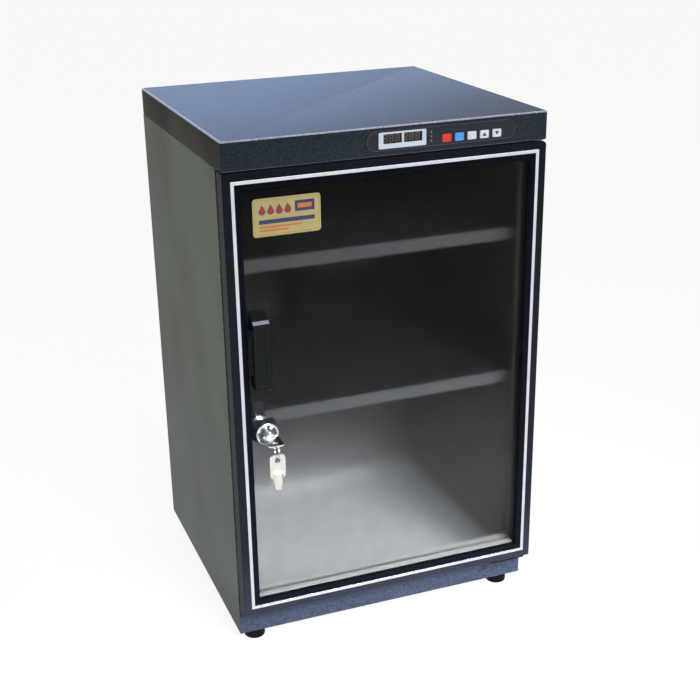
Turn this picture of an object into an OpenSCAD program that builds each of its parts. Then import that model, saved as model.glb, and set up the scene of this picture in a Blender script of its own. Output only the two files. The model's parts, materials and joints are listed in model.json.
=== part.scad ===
// Camera dry cabinet: folded steel body on four feet, hood with the controls,
// glazed door hinged on the right, cam lock with its keys, shelves and drying unit.
// Millimetres. X runs across the front, -Y is the front, Z is up.
// The origin is on the floor, in the middle of everything the cabinet covers.

/* [Cabinet] */
// Width over the side panels
cab_w = 400; // [340:1:500]
// Depth from the door's front to the back panel
cab_d = 384; // [320:1:480]
// Height of the body under the hood
body_h = 605.5; // [500:0.5:760]
// Thickness of the folded steel sheet
sheet_t = 1.2; // [1:0.1:1.6]

/* [Hood] */
// Height of the hood from its hem to its top
hood_h = 33.5; // [33:0.5:45]
// Shadow gap between the body and the hood's hem
hood_gap = 1; // [0.5:0.1:2]
// Radius of the hood's upright corners
hood_r = 2.5; // [1.5:0.1:6]

/* [Feet] */
// Height of a foot
foot_h = 17; // [8:0.5:20]
// Diameter of a foot
foot_d = 27; // [20:0.5:34]
// Distance of a foot's middle from the cabinet's side
foot_inset_x = 24.5; // [18:0.5:40]
// Distance of a foot's middle from the body's front and back
foot_inset_y = 20; // [13:0.5:40]

/* [Door] */
// Height of the door's lower edge above the body's underside
door_lift = 41; // [38:0.5:60]
// Thickness of the door frame
frame_d = 20; // [18:0.5:26]
// Width of the door frame seen from the front
frame_w = 20; // [18:0.5:26]
// Thickness of the glass
glass_t = 4; // [3:0.5:6]
// Thickness of the magnetic gasket
gasket_t = 6.6; // [5:0.1:9]
// Gap between the gasket and the body
gasket_gap = 0.4; // [0.2:0.1:1]
// Radius of the door's upper corner at the hinge
door_r = 6.5; // [3:0.5:9]

/* [Lock] */
// Distance of the lock's middle from the door's left edge
lock_x = 38.5; // [36:0.5:60]
// Height of the lock's middle above the body's underside
lock_z = 289; // [200:0.5:320]
// Diameter of the chrome lock ring
lock_ring_d = 28; // [24:0.5:32]

/* [Handle] */
// Length of the door handle
handle_l = 94; // [80:0.5:130]
// Width of the door handle
handle_w = 19.5; // [16:0.5:28]
// Distance of the handle from the door's left edge
handle_x = 23; // [22:0.5:40]
// Height of the handle's lower end above the body's underside
handle_z = 349.5; // [340:0.5:420]
// How far the handle stands out in front of the door frame
handle_out = 18; // [15:0.5:26]

/* [Shelves] */
// Height of the middle shelf above the body's underside
shelf_mid_z = 297; // [200:0.5:330]
// Height of the upper shelf above the body's underside
shelf_top_z = 490; // [400:0.5:520]
// Height of a shelf's folded edge
shelf_lip = 16; // [10:0.5:24]

/* [Controls] */
// Length of the control panel's overlay
panel_w = 188.5; // [180:0.5:240]
// Height of the control panel's overlay
panel_h = 24.6; // [22:0.1:26]
// Distance of the overlay's right end from the hood's right side
panel_inset = 42.5; // [30:0.5:80]
// Width of a key cap
key_w = 11; // [10:0.1:13]
// Height of a key cap
key_h = 9.2; // [8:0.1:11]
// Distance from one key cap to the next
key_pitch = 16; // [15:0.1:17]
// Travel of a key cap
key_travel = 0.5; // [0.3:0.1:0.8]

/* [Drying unit] */
// Width of the drying unit
dryer_w = 150; // [140:1:200]
// Depth of the drying unit
dryer_d = 54; // [50:1:70]

/* [Hidden] */
$fn = 48;
// Overrun of every cut past the face that it opens
over = 1;
// Running clearance of a shaft in its bore
run_fit = 0.05;
// Clearance of a piece seated in a pocket, and of a loose hole round a shank
seat_fit = 0.02;
loose_fit = 0.3;

// Door, front to back, and the body's front plane behind it
door_w = cab_w;
door_top_gap = 1;
door_h = body_h - door_lift - door_top_gap;
body_y = frame_d + gasket_t + gasket_gap;
body_d = cab_d - body_y;

// Frame section: chamfer, silver trim in its groove, bevel, lips round the glass
frame_chamfer = 0.8;
trim_inset = 9.6;
trim_w = 4;
trim_t = 1.2;
trim_proud = 0.3;
bevel_inset = 14.6;
bevel_drop = 1.6;
glass_y = 2.75;
bead_t = 0.5;
bead_w = 7.5;
bead_sight = 1.2;
glass_rim = 0.5;
groove_inset = frame_w + bead_sight - bead_w;
glass_inset = groove_inset + glass_rim;

// Gasket on the door's back
gasket_inset = 7;
gasket_w = 9;

// Plan place of the door's front face, so that the origin is in the middle
key_wire_r = 0.75;
key_ring_r = 9;
key_barrel_r = 4.7;
key_bore_r = 3.6;
key_collar_r = 6;
key_barrel_l = 7;
key_collar_l = 14;
key_bow_l = 23;
key_bow_w = 19;
key_bow_t = 2;
key_bow_r = 4.5;
key_hole_r = 3.4;
key_web = 3.4;
key_shoulder = 0.5;
core_face_y = -3;
key_tip_gap = 0.5;
bow_end_y = core_face_y - key_shoulder - key_collar_l - key_bow_l;
web_y = bow_end_y + key_web / 2;
ring_out = -web_y + key_ring_r + key_wire_r;
inlet_proud = 2;
inlet_head_t = 1.6;
y0 = (ring_out - inlet_proud - inlet_head_t - cab_d) / 2;
x0 = -cab_w / 2;
z0 = foot_h;

// Folded flanges of the body
side_flange_w = 17;
side_lip = 9;
back_flange_w = 14;
rail_low_h = 58;
rail_low_lip = 12;
rail_top_h = 18;
tray_edge = 10;
panel_gap = 0.15;

// Hinge: pin axis from the door's right edge and front face
hinge_x = 9;
hinge_y = 9;
hinge_pin_r = 2.5;
bush_r = 4;
bush_l = 8;
bush_flange_r = 6;
bush_flange_t = 0.8;
hinge_t = 2;
hinge_w = 54;
hinge_side = 4;
hinge_front = 3;
hinge_back = 16;
hinge_leg = 14;
hinge_drop = 1.5;
hinge_screw_r = 2;
hinge_screw_pitch = 30;
hinge_nose_r = 5;

// Lock behind the glass
lock_barrel_r = 9.5;
lock_core_r = 7;
lock_ring_out = 5;
lock_dish_r = 11;
lock_dish = 1.6;
lock_block_w = 28;
lock_block_h = 24;
lock_block_t = 8;
cam_gap = 0.4;
cam_t = 2;
cam_w = 14;
cam_hook = 7;
cam_tang = 5;
cam_screw_r = 2;
cam_head_r = 4;
cam_head_t = 2.4;
cam_screw_l = 8;

// Handle section
handle_leg = 14;
handle_grip = 8;
handle_slope = 8;
handle_chamfer = 2;
handle_brow = 4.5;
handle_brow_drop = 2.9;
handle_panel_left = 2.5;
handle_panel_right = 5.5;
handle_panel_deep = 1;
handle_screw_r = 2;
handle_screw_deep = 12;
handle_head_r = 4.5;
handle_head_t = 2.6;

// Label on the glass
label_w = 80.6;
label_h = 44;
label_t = 0.3;
label_x = 33.9;
label_top = 32.2;
label_r = 4;

// Shelves, their slotted uprights and clips
shelf_front = 45;
shelf_back_gap = 5;
shelf_slot_w = 60;
shelf_slot_h = 5;
shelf_slot_cols = 5;
shelf_slot_rows = 7;
upright_w = 14;
upright_t = 5;
upright_foot = 20;
upright_slot_w = 3;
upright_slot_h = 9;
upright_slots_between = 8;
upright_slot_pitch = (shelf_top_z - shelf_mid_z) / upright_slots_between;
upright_inset = 30;
clip_w = 10;
clip_h = 14;
clip_t = 1.5;
clip_arm = 11;
clip_hook = 2.5;

// Hood screws through the hood's back into the ceiling tray
screw_r = 2;
screw_head_r = 4;
screw_head_t = 2;
screw_l = 7;
hood_screw_inset = 30;
hood_screw_count = 4;
hood_screw_up = 6;

// Display, lamps and board on the control panel
overlay_t = 0.8;
overlay_up = 4.7;
bezel_w = 58.6;
bezel_h = 18.5;
bezel_r = 1.5;
bezel_proud = 0.6;
bezel_inset = 15.3;
bezel_up = 3.3;
window_w = 22.6;
window_h = 11;
window_up = 8.8;
window_a = 21;
window_b = 46.3;
digit_h = 14;
digit_d = 7.2;
digit_gap = 0.3;
lamp_r = 1.2;
lamp_x = 80.5;
lamp_pitch = 5;
key_first_x = 99.8;
key_sink = -3.5;
key_proud = 0.7;
key_r = 1.2;
key_gap = 0.3;
key_stem_r = 1.75;
key_skirt = 1;
key_skirt_t = 1;
switch_w = 6;
switch_h = 4.3;
switch_gap = 0.1;
board_w = 176;
board_h = 24;
board_t = 1.6;
board_y = 9;
standoff_r = 2.5;
standoff_inset = 4;

// Power supply, inlet and wiring under the hood
supply_w = 90;
supply_d = 60;
supply_x = 90;
supply_back = 84;
supply_up = 5;
core_w = 42;
core_d = 35;
core_h = 19;
core_x_share = 1 / 3;
cap_r = 6;
cap_h = 16;
cap_x_share = 3 / 4;
cap_y_shares = [1 / 4, 3 / 4];
inlet_w = 27.4;
inlet_h = 20;
inlet_deep = 22;
inlet_flange_w = 50;
inlet_flange_h = 24;
inlet_x = 90;
inlet_sink = 1;
inlet_socket_w = 24.4;
inlet_socket_h = 16.4;
inlet_socket_deep = 16;
inlet_pin_w = 2;
inlet_pin_h = 4;
inlet_pin_l = 13;
inlet_pin_pitch = 7;
inlet_ear = 20;
inlet_screw_r = 1.5;
inlet_head_r = 2.8;
wire_r = 2;
elbow_share = 1.06;

// Drying unit on the back panel
dryer_side = 135;
dryer_under = 7;
dryer_over = 6;
dryer_t = 2;
dryer_cover_t = 2;
vent_w = 110;
vent_h = 22;
vent_z = 16;
louvre_h = 4;
louvre_pitch = 9;
louvre_count = 9;
louvre_w = 110;
louvre_up = 62;
flap_t = 2;
flap_pin_r = 1.5;
flap_barrel_r = 3;
flap_open = 50;
flap_side_gap = 1.5;
flap_seal_gap = 0.4;
flap_ear = 6;
flap_over = 2;
flap_pin_up = 5;
flap_reach = 8;
pack_up = 52;
pack_gap = 4;
pack_d = 30;
pack_rib = 3;
heater_t = 3;
vent_cover_w = 126;
vent_cover_h = 40;
vent_cover_d = 1.8;
probe_w = 22;
probe_h = 40;
probe_d = 14;
probe_x = 120;
probe_up = 123;
probe_lead_drop = 10;
probe_slot_h = 2;
probe_slot_pitch = 5;
probe_slot_count = 5;

// Places and sizes worked out from the ones above
rail_foot_lip = 24;
side_top_w = 14;
side_base_w = 42;
rail_slot_side = 54;
rail_slot_z = 15;
rail_slot_w = 1.5;
rail_slot_h = 6;
foot_head_r = 5;
foot_head_t = 2;
hinge_head_r = 3.6;
hinge_head_t = 2;
hinge_screw_x = [for (side = [-1, 1]) cab_w - hinge_side - hinge_w / 2 + side * hinge_screw_pitch / 2];
lock_end_y = body_y + 2 * sheet_t;
lock_ring_edge = 1.5;
lock_block_r = 1.5;
cam_l = lock_x - side_flange_w + cam_hook;
keeper_gap = 2;
key_bore_deep = 4;
ring_drop = sqrt(pow(key_ring_r - key_wire_r, 2) - pow(key_web / 2, 2)) - key_bow_t / 2 - loose_fit;
handle_mid_x = handle_x + handle_w / 2;
handle_screw_z = [handle_z + handle_leg / 2 + handle_chamfer, handle_z + handle_l - handle_leg];
shelf_x = sheet_t + upright_t + clip_t + panel_gap;
shelf_rear = cab_d - 2 * sheet_t - shelf_back_gap;
upright_y = [shelf_front + upright_inset, shelf_rear - upright_inset];
upright_slot_deep = 3;
hook_drop = sheet_t + clip_h - clip_t / 2 + upright_slot_h / 2;
clip_tongue = 2.4;
panel_x = cab_w - panel_inset - panel_w;
panel_z = body_h + hood_gap + overlay_up;
panel_mid = panel_z + panel_h / 2;
bezel_x = panel_x + bezel_inset;
bezel_rim = 1.5;
window_side = window_a - bezel_inset;
key_low = panel_mid + key_sink - key_h / 2 - panel_z;
key_mid = panel_z + key_low + key_h / 2;
function key_x(i) = panel_x + key_first_x - key_w / 2 + i * key_pitch;
inlet_mid = body_h + hood_gap + hood_h / 2 - inlet_sink;
inlet_pin_drop = 2;
dryer_x = cab_w - dryer_side;
supply_y = cab_d - supply_back;
lead_beside = 20;
lead_inset = 18;
lead_x = dryer_x + lead_beside;
lead_y = cab_d - lead_inset;
lead_gap = 5;
probe_z = shelf_mid_z + probe_up;
probe_lead_z = shelf_top_z - probe_lead_drop;
pack_front = (dryer_d - pack_d) / 2;
vent_bars = 4;
flap_w = vent_w + 2 * flap_over;
flap_ear_t = 4;
flap_pin_out = 5;
flap_pin_z = vent_z + vent_h + flap_pin_up;
flap_l = vent_h + flap_reach;
dryer_h = shelf_top_z - shelf_lip - shelf_mid_z - dryer_under - dryer_over;
dryer_z = shelf_mid_z + dryer_under;

// Shared shapes. Each piece is drawn with x from the cabinet's left side,
// y from the door's front face and z from the body's underside.

module placed() {
    translate([x0, y0, z0]) children();
}

// Rectangle with round corners, its lower left corner at the origin
module rounded(w, h, r) {
    translate([r, 0]) square([w - 2 * r, h]);
    translate([0, r]) square([w, h - 2 * r]);
    for (x = [r, w - r], y = [r, h - r]) translate([x, y]) circle(r);
}

// Upright plate in the plane of the door, its front face at y = 0
module face_plate(w, h, t, r) {
    translate([0, t, 0]) rotate([90, 0, 0]) linear_extrude(t) rounded(w, h, r);
}

// Round bar along +Y from the origin
module rod_y(r, l) {
    rotate([-90, 0, 0]) cylinder(r = r, h = l);
}

// Round bar along +X from the origin
module rod_x(r, l) {
    rotate([0, 90, 0]) cylinder(r = r, h = l);
}

module block(from, size) {
    translate(from) cube(size);
}

// Lead that runs straight from point to point, with a rounded elbow at each
module lead(points, r) {
    for (i = [0 : len(points) - 2]) {
        run = points[i + 1] - points[i];
        far = norm(run);
        translate(points[i]) rotate([0, acos(run[2] / far), atan2(run[1], run[0])]) cylinder(r = r, h = far);
    }
    for (i = [1 : len(points) - 2]) translate(points[i]) sphere(r * elbow_share);
}

// Places that several pieces share
foot_places = [
    for (x = [foot_inset_x, cab_w - foot_inset_x], y = [body_y + foot_inset_y, cab_d - foot_inset_y]) [x, y]
];
door_top = door_lift + door_h;
tray_z = body_h;
tray_in = sheet_t + panel_gap;
tray_w = cab_w - 2 * tray_in;
tray_d = cab_d - 2 * tray_in;
hood_z = body_h + hood_gap;
back_y = cab_d - 2 * sheet_t;
pin_x = cab_w - hinge_x;
hood_screw_x = [
    for (i = [0 : hood_screw_count - 1])
        hood_screw_inset + i * (cab_w - 2 * hood_screw_inset) / (hood_screw_count - 1)
];
hood_screw_z = hood_z + hood_screw_up;
foot_bolt_r = 3;
foot_nut_r = 6;
foot_nut_t = 4;
foot_bolt_up = 6;
foot_cup_r = 8;
foot_cup_h = 3;
foot_round = 2;

// Side panel folded from one sheet: skin, front and back flanges, top and base flanges
// With a keeper slot in the front lip for the lock's cam on the lock's side
module side_panel(keeper) {
    lip_y = body_y + sheet_t;
    base_y = body_y + rail_foot_lip + panel_gap;
    difference() {
        union() {
            block([0, lip_y, 0], [sheet_t, body_d - sheet_t, body_h]);
            block([0, body_y, rail_low_h + panel_gap],
                [side_flange_w, sheet_t, body_h - rail_low_h - panel_gap]);
            block([side_flange_w - sheet_t, body_y, rail_low_h + panel_gap],
                [sheet_t, side_lip, body_h - rail_low_h - panel_gap - rail_top_h]);
            block([0, cab_d - sheet_t, 0], [back_flange_w, sheet_t, body_h]);
            block([0, lip_y, body_h - sheet_t], [side_top_w, body_d - 2 * sheet_t, sheet_t]);
            block([0, base_y, 0], [side_base_w, cab_d - base_y, sheet_t]);
        }
        for (p = foot_places)
            translate([p[0], p[1], -over]) cylinder(r = foot_bolt_r + loose_fit, h = sheet_t + 2 * over);
        if (keeper) block([side_flange_w - sheet_t - over, lip_y, lock_z - cam_w / 2 - keeper_gap],
            [sheet_t + 2 * over, side_lip, cam_w / 2 + cam_l + 2 * keeper_gap]);
    }
}

module side_panel_left() {
    color("#3c4146") placed() side_panel(true);
}

module side_panel_right() {
    color("#3c4146") placed() translate([cab_w, 0, 0]) mirror([1, 0, 0]) side_panel(false);
}

// Back panel with the drying unit's vent
module back_panel() {
    color("#34383d") placed() difference() {
        block([tray_in, back_y, sheet_t + panel_gap],
            [tray_w, sheet_t, body_h - 2 * sheet_t - 2 * panel_gap]);
        block([dryer_x - vent_w / 2, back_y - over, dryer_z + vent_z], [vent_w, sheet_t + 2 * over, vent_h]);
    }
}

// Floor pan: flat sheet with its left, right and back edges turned up
module floor_pan() {
    pan_y = body_y + sheet_t + panel_gap;
    pan_d = back_y - pan_y - panel_gap;
    color("#9aa0a6") placed() difference() {
        block([tray_in, pan_y, sheet_t], [tray_w, pan_d, tray_edge]);
        block([tray_in + sheet_t, pan_y - over, 2 * sheet_t],
            [tray_w - 2 * sheet_t, pan_d - sheet_t + over, tray_edge]);
        for (p = foot_places)
            translate([p[0], p[1], 0]) cylinder(r = foot_bolt_r + loose_fit, h = 2 * sheet_t + over);
    }
}

// Ceiling tray: closes the body, carries the upper hinge and the parts under the hood
module ceiling_tray() {
    color("#3a3f45") placed() difference() {
        translate([tray_in, tray_in, tray_z]) linear_extrude(sheet_t + tray_edge)
            rounded(tray_w, tray_d, hood_r);
        block([tray_in + sheet_t, tray_in - over, tray_z + sheet_t],
            [tray_w - 2 * sheet_t, tray_d - sheet_t + over, tray_edge + over]);
        translate([pin_x, hinge_y, tray_z - over])
            cylinder(r = hinge_pin_r + loose_fit, h = sheet_t + 2 * over);
        translate([lead_x, lead_y, tray_z - over]) cylinder(r = wire_r + loose_fit, h = sheet_t + 2 * over);
        for (x = hood_screw_x) translate([x, cab_d - screw_l, hood_screw_z])
            rod_y(screw_r + loose_fit, screw_l);
        for (x = hinge_screw_x)
            translate([x, body_y, tray_z - over])
                cylinder(r = hinge_screw_r + seat_fit, h = sheet_t + 2 * over);
        translate([inlet_x - inlet_w / 2, cab_d - inlet_deep, inlet_mid - inlet_h / 2])
            cube([inlet_w, inlet_deep, inlet_h]);
    }
}

// Low front rail: face, lip turned in at the top, foot turned in at the base
module bottom_rail() {
    plate_z = door_lift - hinge_drop - hinge_t;
    color("#5c6378") placed() difference() {
        union() {
            block([0, body_y, 0], [cab_w, sheet_t, rail_low_h]);
            block([sheet_t + panel_gap, body_y, rail_low_h - sheet_t],
                [cab_w - 2 * tray_in, rail_low_lip, sheet_t]);
            block([tray_in, body_y, 0], [cab_w - 2 * tray_in, rail_foot_lip, sheet_t]);
        }
        block([cab_w - hinge_side - hinge_w - panel_gap, body_y - over, plate_z - panel_gap],
            [hinge_w + 2 * panel_gap, sheet_t + 2 * over, hinge_t + 2 * panel_gap]);
        block([cab_w - rail_slot_side, body_y - over, rail_slot_z],
            [rail_slot_w, sheet_t + 2 * over, rail_slot_h]);
        for (x = hinge_screw_x)
            translate([x, body_y - over, plate_z - hinge_leg / 2])
                rod_y(hinge_screw_r + seat_fit, sheet_t + 2 * over);
        for (p = foot_places)
            translate([p[0], p[1], -over]) cylinder(r = foot_bolt_r + loose_fit, h = sheet_t + 2 * over);
    }
}

// Top front rail between the side panels' flanges
module top_rail() {
    rail_x = side_flange_w + panel_gap;
    color("#3a3f45") placed() {
        block([rail_x, body_y, body_h - rail_top_h], [cab_w - 2 * rail_x, sheet_t, rail_top_h]);
        block([rail_x, body_y, body_h - sheet_t], [cab_w - 2 * rail_x, rail_low_lip, sheet_t]);
    }
}

// Hood: folded cap with cut-outs for the controls, the inlet and its screws
module hood() {
    color("#3f4652") placed() difference() {
        translate([0, 0, hood_z]) linear_extrude(hood_h) rounded(cab_w, cab_d, hood_r);
        translate([sheet_t, sheet_t, hood_z - over]) linear_extrude(hood_h - sheet_t + over)
            rounded(cab_w - 2 * sheet_t, cab_d - 2 * sheet_t, hood_r - sheet_t);
        for (x = [window_a, window_b])
            block([bezel_x + x - window_a + window_side, -over, panel_z + window_up],
                [window_w, sheet_t + 2 * over, window_h]);
        for (i = [0 : 4]) translate([key_x(i) - key_gap, -over, panel_z + key_low - key_gap])
            face_plate(key_w + 2 * key_gap, key_h + 2 * key_gap, sheet_t + 2 * over, key_r);
        for (i = [-1 : 1]) translate([panel_x + lamp_x, -over, panel_mid + i * lamp_pitch])
            rod_y(lamp_r + seat_fit, sheet_t + 2 * over);
        block([inlet_x - inlet_w / 2 - panel_gap, cab_d - sheet_t - over,
            inlet_mid - inlet_h / 2 - panel_gap],
            [inlet_w + 2 * panel_gap, sheet_t + 2 * over, inlet_h + 2 * panel_gap]);
        for (side = [-1, 1]) translate([inlet_x + side * inlet_ear, cab_d - sheet_t - over, inlet_mid])
            rod_y(inlet_screw_r + seat_fit, sheet_t + 2 * over);
        for (x = hood_screw_x)
            translate([x, cab_d - sheet_t - over, hood_screw_z])
                rod_y(screw_r + seat_fit, sheet_t + 2 * over);
    }
}

// Screws that hold the hood to the ceiling tray's turned-up back edge
module hood_screws() {
    color("silver") placed() for (x = hood_screw_x) translate([x, cab_d, hood_screw_z]) {
        translate([0, -screw_l, 0]) rod_y(screw_r, screw_l);
        rod_y(screw_head_r, screw_head_t);
    }
}

// Rubber feet, each with a cup for the bolt's head
module feet() {
    color("#161618") placed() for (p = foot_places) translate([p[0], p[1], -foot_h]) difference() {
        union() {
            cylinder(r = foot_d / 2 - foot_round, h = foot_h);
            translate([0, 0, foot_round]) cylinder(r = foot_d / 2, h = foot_h - foot_round);
            translate([0, 0, foot_round]) rotate_extrude() translate([foot_d / 2 - foot_round, 0])
                circle(foot_round);
        }
        translate([0, 0, -over]) cylinder(r = foot_cup_r, h = foot_cup_h + over);
        cylinder(r = foot_bolt_r + seat_fit, h = foot_h + over);
    }
}

// Bolts that hold the feet, with their nuts on the floor pan
module foot_bolts() {
    color("silver") placed() for (p = foot_places) translate([p[0], p[1], 0]) {
        translate([0, 0, foot_cup_h - foot_h])
            cylinder(r = foot_bolt_r, h = foot_h - foot_cup_h + 2 * sheet_t + foot_bolt_up);
        translate([0, 0, foot_cup_h - foot_h - foot_head_t]) cylinder(r = foot_head_r, h = foot_head_t);
        translate([0, 0, 2 * sheet_t]) cylinder(r = foot_nut_r, h = foot_nut_t, $fn = 6);
    }
}

// Shelf: sheet with its front and back edges folded down and rows of slots for the air
module shelf() {
    w = cab_w - 2 * shelf_x;
    d = shelf_rear - shelf_front;
    difference() {
        union() {
            block([shelf_x, shelf_front, -sheet_t], [w, d, sheet_t]);
            for (y = [shelf_front, shelf_rear - sheet_t])
                block([shelf_x, y, -shelf_lip], [w, sheet_t, shelf_lip]);
        }
        for (c = [1 : shelf_slot_cols], r = [1 : shelf_slot_rows])
            translate([
                shelf_x + w * c / (shelf_slot_cols + 1) - shelf_slot_w / 2,
                shelf_front + d * r / (shelf_slot_rows + 1) - shelf_slot_h / 2,
                -sheet_t - over
            ]) linear_extrude(sheet_t + 2 * over)
                rounded(shelf_slot_w, shelf_slot_h, shelf_slot_h / 2 - seat_fit);
    }
}

module shelf_upper() {
    color("#b9bdc2") placed() translate([0, 0, shelf_top_z]) shelf();
}

module shelf_middle() {
    color("#b9bdc2") placed() translate([0, 0, shelf_mid_z]) shelf();
}

// Slotted uprights, two on each side panel
module shelf_uprights() {
    low = floor((shelf_mid_z - hook_drop - upright_foot - upright_slot_h) / upright_slot_pitch);
    high = floor((body_h - upright_foot - shelf_mid_z) / upright_slot_pitch);
    color("#8d9297") placed() for (side = [0, 1], y = upright_y)
        translate([side * cab_w, y - upright_w / 2, 0]) mirror([side, 0, 0]) difference() {
            block([sheet_t, 0, upright_foot], [upright_t, upright_w, body_h - 2 * upright_foot]);
            for (k = [-low : high])
                block([sheet_t + upright_t - upright_slot_deep, (upright_w - upright_slot_w) / 2,
                        shelf_mid_z - hook_drop + k * upright_slot_pitch],
                    [upright_slot_deep + over, upright_slot_w, upright_slot_h]);
        }
}

// Clips hooked into the uprights; each has an arm under the shelf
module shelf_clips() {
    color("silver") placed() for (side = [0, 1], y = upright_y, z = [shelf_mid_z, shelf_top_z])
        translate([side * cab_w, y, z - sheet_t]) mirror([side, 0, 0]) {
            block([sheet_t + upright_t, -clip_w / 2, -clip_h], [clip_t, clip_w, clip_h]);
            block([sheet_t + upright_t, -clip_w / 2, -clip_t], [clip_t + clip_arm, clip_w, clip_t]);
            block([sheet_t + upright_t - clip_hook, -clip_tongue / 2, -clip_h + clip_t],
                [clip_hook + clip_t, clip_tongue, clip_t]);
        }
}

// Film over the control panel: rounded ends, cut-outs for the windows, lamps and keys
module control_overlay() {
    color("#23262c") placed() difference() {
        translate([panel_x, -overlay_t, panel_z])
            face_plate(panel_w, panel_h, overlay_t, panel_h / 2 - seat_fit);
        block([bezel_x + bezel_rim, -overlay_t - over, panel_z + bezel_up + bezel_rim],
            [bezel_w - 2 * bezel_rim, overlay_t + 2 * over, bezel_h - 2 * bezel_rim]);
        for (i = [0 : 4]) translate([key_x(i) - key_gap, -overlay_t - over, panel_z + key_low - key_gap])
            face_plate(key_w + 2 * key_gap, key_h + 2 * key_gap, overlay_t + 2 * over, key_r);
        for (i = [-1 : 1]) translate([panel_x + lamp_x, -overlay_t - over, panel_mid + i * lamp_pitch])
            rod_y(lamp_r + seat_fit, overlay_t + 2 * over);
    }
}

// Pale frame round the two display windows
module display_bezel() {
    color("#d9dbe0") placed() translate([bezel_x, -overlay_t - bezel_proud, panel_z + bezel_up])
        difference() {
        face_plate(bezel_w, bezel_h, bezel_proud, bezel_r);
        for (x = [0, window_b - window_a])
            block([x + window_side, -over, window_up - bezel_up],
                [window_w, bezel_proud + 2 * over, window_h]);
    }
}

// Two display modules behind the windows
module digit_modules() {
    color("#1c2024") placed() for (x = [0, window_b - window_a])
        block([bezel_x + x + window_side - panel_gap, sheet_t + digit_gap,
            panel_z + window_up + (window_h - digit_h) / 2],
            [window_w + 2 * panel_gap, digit_d, digit_h]);
}

// Three indicator lamps
module indicator_lamps() {
    color("#c03028") placed() for (i = [-1 : 1])
        translate([panel_x + lamp_x, -overlay_t, panel_mid + i * lamp_pitch])
        rod_y(lamp_r, board_y + overlay_t - panel_gap);
}

// Board with one push switch behind each key
module control_board() {
    color("#1f5c3a") placed() {
        block([panel_x + (panel_w - board_w) / 2, board_y, panel_mid - board_h / 2],
            [board_w, board_t, board_h]);
        for (i = [0 : 4]) block([key_x(i) + (key_w - switch_w) / 2, board_y - switch_h,
            key_mid - switch_w / 2],
            [switch_w, switch_h, switch_w]);
    }
}

// Pillars that hold the board behind the hood's front
module board_standoffs() {
    color("#c9a14a") placed() for (x = [standoff_inset, board_w - standoff_inset], z = [-1, 1])
        translate([panel_x + (panel_w - board_w) / 2 + x, sheet_t,
            panel_mid + z * (board_h / 2 - standoff_inset)])
            rod_y(standoff_r, board_y - sheet_t);
}

// Key cap: cap in its hole, skirt behind the sheet, stem towards its switch
module key_cap(i) {
    front = -overlay_t - key_proud;
    skirt_y = sheet_t + key_gap;
    placed() translate([key_x(i), 0, panel_z + key_low]) {
        translate([0, front, 0]) face_plate(key_w, key_h, skirt_y - front, key_r);
        block([-key_skirt, skirt_y, -key_skirt], [key_w + 2 * key_skirt, key_skirt_t, key_h + 2 * key_skirt]);
        translate([key_w / 2, skirt_y, key_h / 2])
            rod_y(key_stem_r, board_y - switch_h - key_travel - switch_gap - skirt_y);
    }
}

module key_power() {
    color("#c8242c") key_cap(0);
}

module key_blue() {
    color("#2f6fb4") key_cap(1);
}

module key_set() {
    color("#e6e8ec") key_cap(2);
}

module key_up_arrow() {
    color("#e6e8ec") key_cap(3);
}

module key_down_arrow() {
    color("#e6e8ec") key_cap(4);
}

// Power supply board on its pillars, with its transformer and capacitors
module power_supply() {
    base = tray_z + sheet_t;
    color("#2b6b45") placed() translate([supply_x, supply_y - supply_d, base]) {
        block([0, 0, supply_up], [supply_w, supply_d, board_t]);
        for (x = [standoff_inset, supply_w - standoff_inset], y = [standoff_inset, supply_d - standoff_inset])
            translate([x, y, 0]) cylinder(r = standoff_r, h = supply_up);
        block([supply_w * core_x_share - core_w / 2, (supply_d - core_d) / 2, supply_up],
            [core_w, core_d, board_t + core_h]);
        for (share = cap_y_shares)
            translate([supply_w * cap_x_share, supply_d * share, supply_up])
                cylinder(r = cap_r, h = board_t + cap_h);
    }
}

// Mains inlet: flange on the hood's back, body inside, socket with three blades
module power_inlet() {
    color("#1a1a1c") placed() translate([inlet_x, cab_d, inlet_mid]) difference() {
        union() {
            translate([-inlet_flange_w / 2, 0, -inlet_flange_h / 2])
                face_plate(inlet_flange_w, inlet_flange_h, inlet_proud, inlet_proud);
            block([-inlet_w / 2, -inlet_deep, -inlet_h / 2], [inlet_w, inlet_deep + inlet_proud, inlet_h]);
        }
        difference() {
            block([-inlet_socket_w / 2, inlet_proud - inlet_socket_deep, -inlet_socket_h / 2],
                [inlet_socket_w, inlet_socket_deep + over, inlet_socket_h]);
            for (i = [-1 : 1])
                block([i * inlet_pin_pitch - inlet_pin_w / 2, inlet_proud - inlet_socket_deep - over,
                        (i == 0 ? 1 : -1) * inlet_pin_drop - inlet_pin_h / 2],
                    [inlet_pin_w, inlet_pin_l + over, inlet_pin_h]);
        }
        for (side = [-1, 1]) translate([side * inlet_ear, -over, 0])
            rod_y(inlet_screw_r + seat_fit, inlet_proud + 2 * over);
    }
}

module inlet_screws() {
    color("silver") placed() for (side = [-1, 1]) translate([inlet_x + side * inlet_ear, cab_d, inlet_mid]) {
        translate([0, -screw_l, 0]) rod_y(inlet_screw_r, screw_l + inlet_proud);
        translate([0, inlet_proud, 0]) rod_y(inlet_head_r, inlet_head_t);
    }
}

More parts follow.
